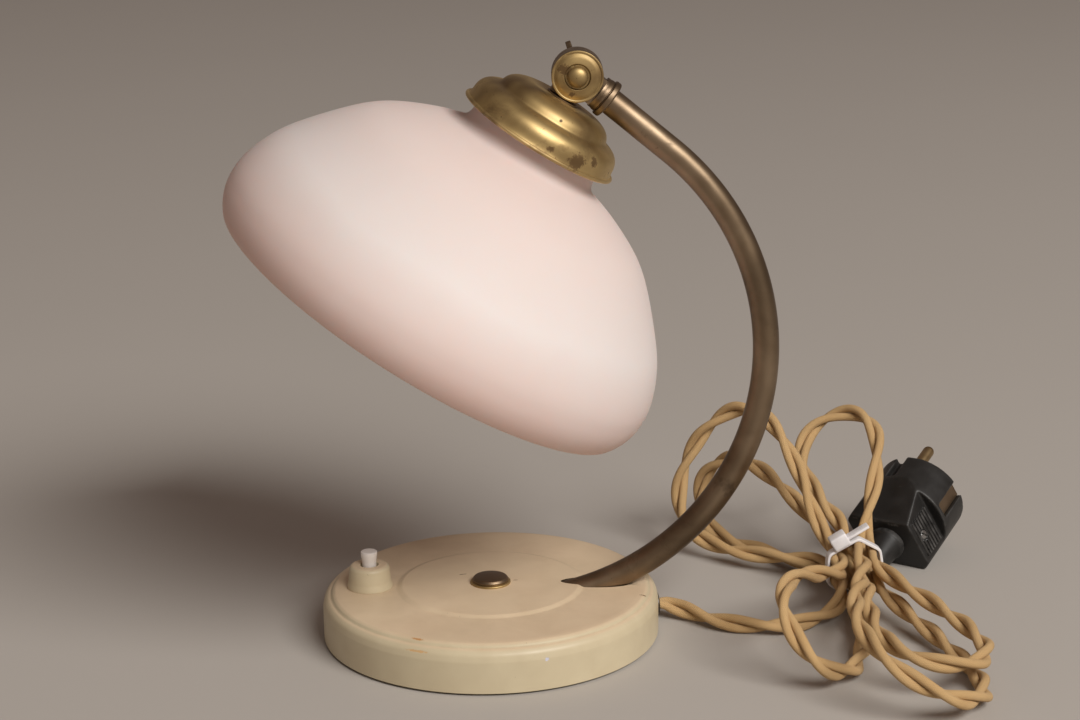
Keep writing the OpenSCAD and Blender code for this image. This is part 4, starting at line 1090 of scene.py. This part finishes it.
# Finishes of the pieces that keep the frame's own shape
dressed = {
    "castIron": ["ballast"],
    "zincSteel": ["bottom_plate", "centre_bolt", "ballast_nut", "spacer_sleeve", "arm_strap",
        "strap_screws", "cord_clamp", "spring_washer"],
    "felt": ["felt_pad"],
    "bakelite": ["switch_body", "lampholder_cap", "upper_shade_ring", "lower_shade_ring"],
    "agedBrass": ["switch_terminals", "gallery_nut"],
    "darkBrass": ["earth_contacts"],
    "pinBrass": ["plug_pins", "screw_shell", "centre_contact", "bulb_cap"],
    "buttonWhite": ["terminal_block"],
    "porcelain": ["lampholder_insert"],
    "fibre": ["friction_washer", "arm_wires"],
    "cork": ["shade_gasket"],
}
for finish, names in dressed.items():
    for name in names:
        nodes[name].data.materials.clear()
        nodes[name].data.materials.append(finishes[finish])
print("frame pieces finished:", sum(len(names) for names in dressed.values()))

# Studio: plain floor, a large soft key from the right and a weak fill
studio = {
    "floorSize": 24.0, "floorDrop": 0.0001, "floorTone": (0.47, 0.44, 0.405), "floorDrift": 0.95,
    "sky": (1.0, 0.78, 0.67), "skyStrength": 0.18,
    "lamps": [  # name, place in m, aim in m, width and height in m, power in W, tone
        ("key", (1.95, -2.6, 2.75), (0.0, 0.0, 0.12), (3.0, 1.8), 180.0, (1.0, 0.97, 0.93)),
        ("fill", (-1.1, -1.1, 0.8), (0.0, 0.0, 0.12), (1.2, 1.2), 0.3, (1.0, 0.88, 0.80))],
}


def makeStudio():
    shape = bmesh.new()
    bmesh.ops.create_grid(shape, x_segments=1, y_segments=1, size=studio["floorSize"] / 2)
    floor = newObject("floor", asMesh("floor", shape, placed((0, 0, -studio["floorDrop"]))))
    material, where = newFinish("floorPaint")
    drift = effect("drift", where, scale=3.0, contrast=0.6)["Tone"]
    low = tuple(part * studio["floorDrift"] for part in studio["floorTone"])
    finished(material, {"Base Color": mixed(drift, low, studio["floorTone"]), "Roughness": 0.75})
    floor.data.materials.append(material)
    world = bpy.data.worlds.new("studio")
    bpy.context.scene.world = world
    world.use_nodes = True
    background = world.node_tree.nodes["Background"].inputs
    background["Color"].default_value = (*studio["sky"], 1)
    background["Strength"].default_value = studio["skyStrength"]
    for name, place, aim, size, power, tone in studio["lamps"]:
        light = bpy.data.lights.new(name, "AREA")
        light.shape = "ELLIPSE"
        light.size, light.size_y = size
        light.energy = power
        light.color = tone
        lamp = newObject(name, light)
        lamp.location = place
        lamp.rotation_mode = "QUATERNION"
        lamp.rotation_quaternion = (Vector(aim) - Vector(place)).to_track_quat("-Z", "Y")
    bpy.context.scene.view_settings.view_transform = "Standard"


makeStudio()
print("studio lit")
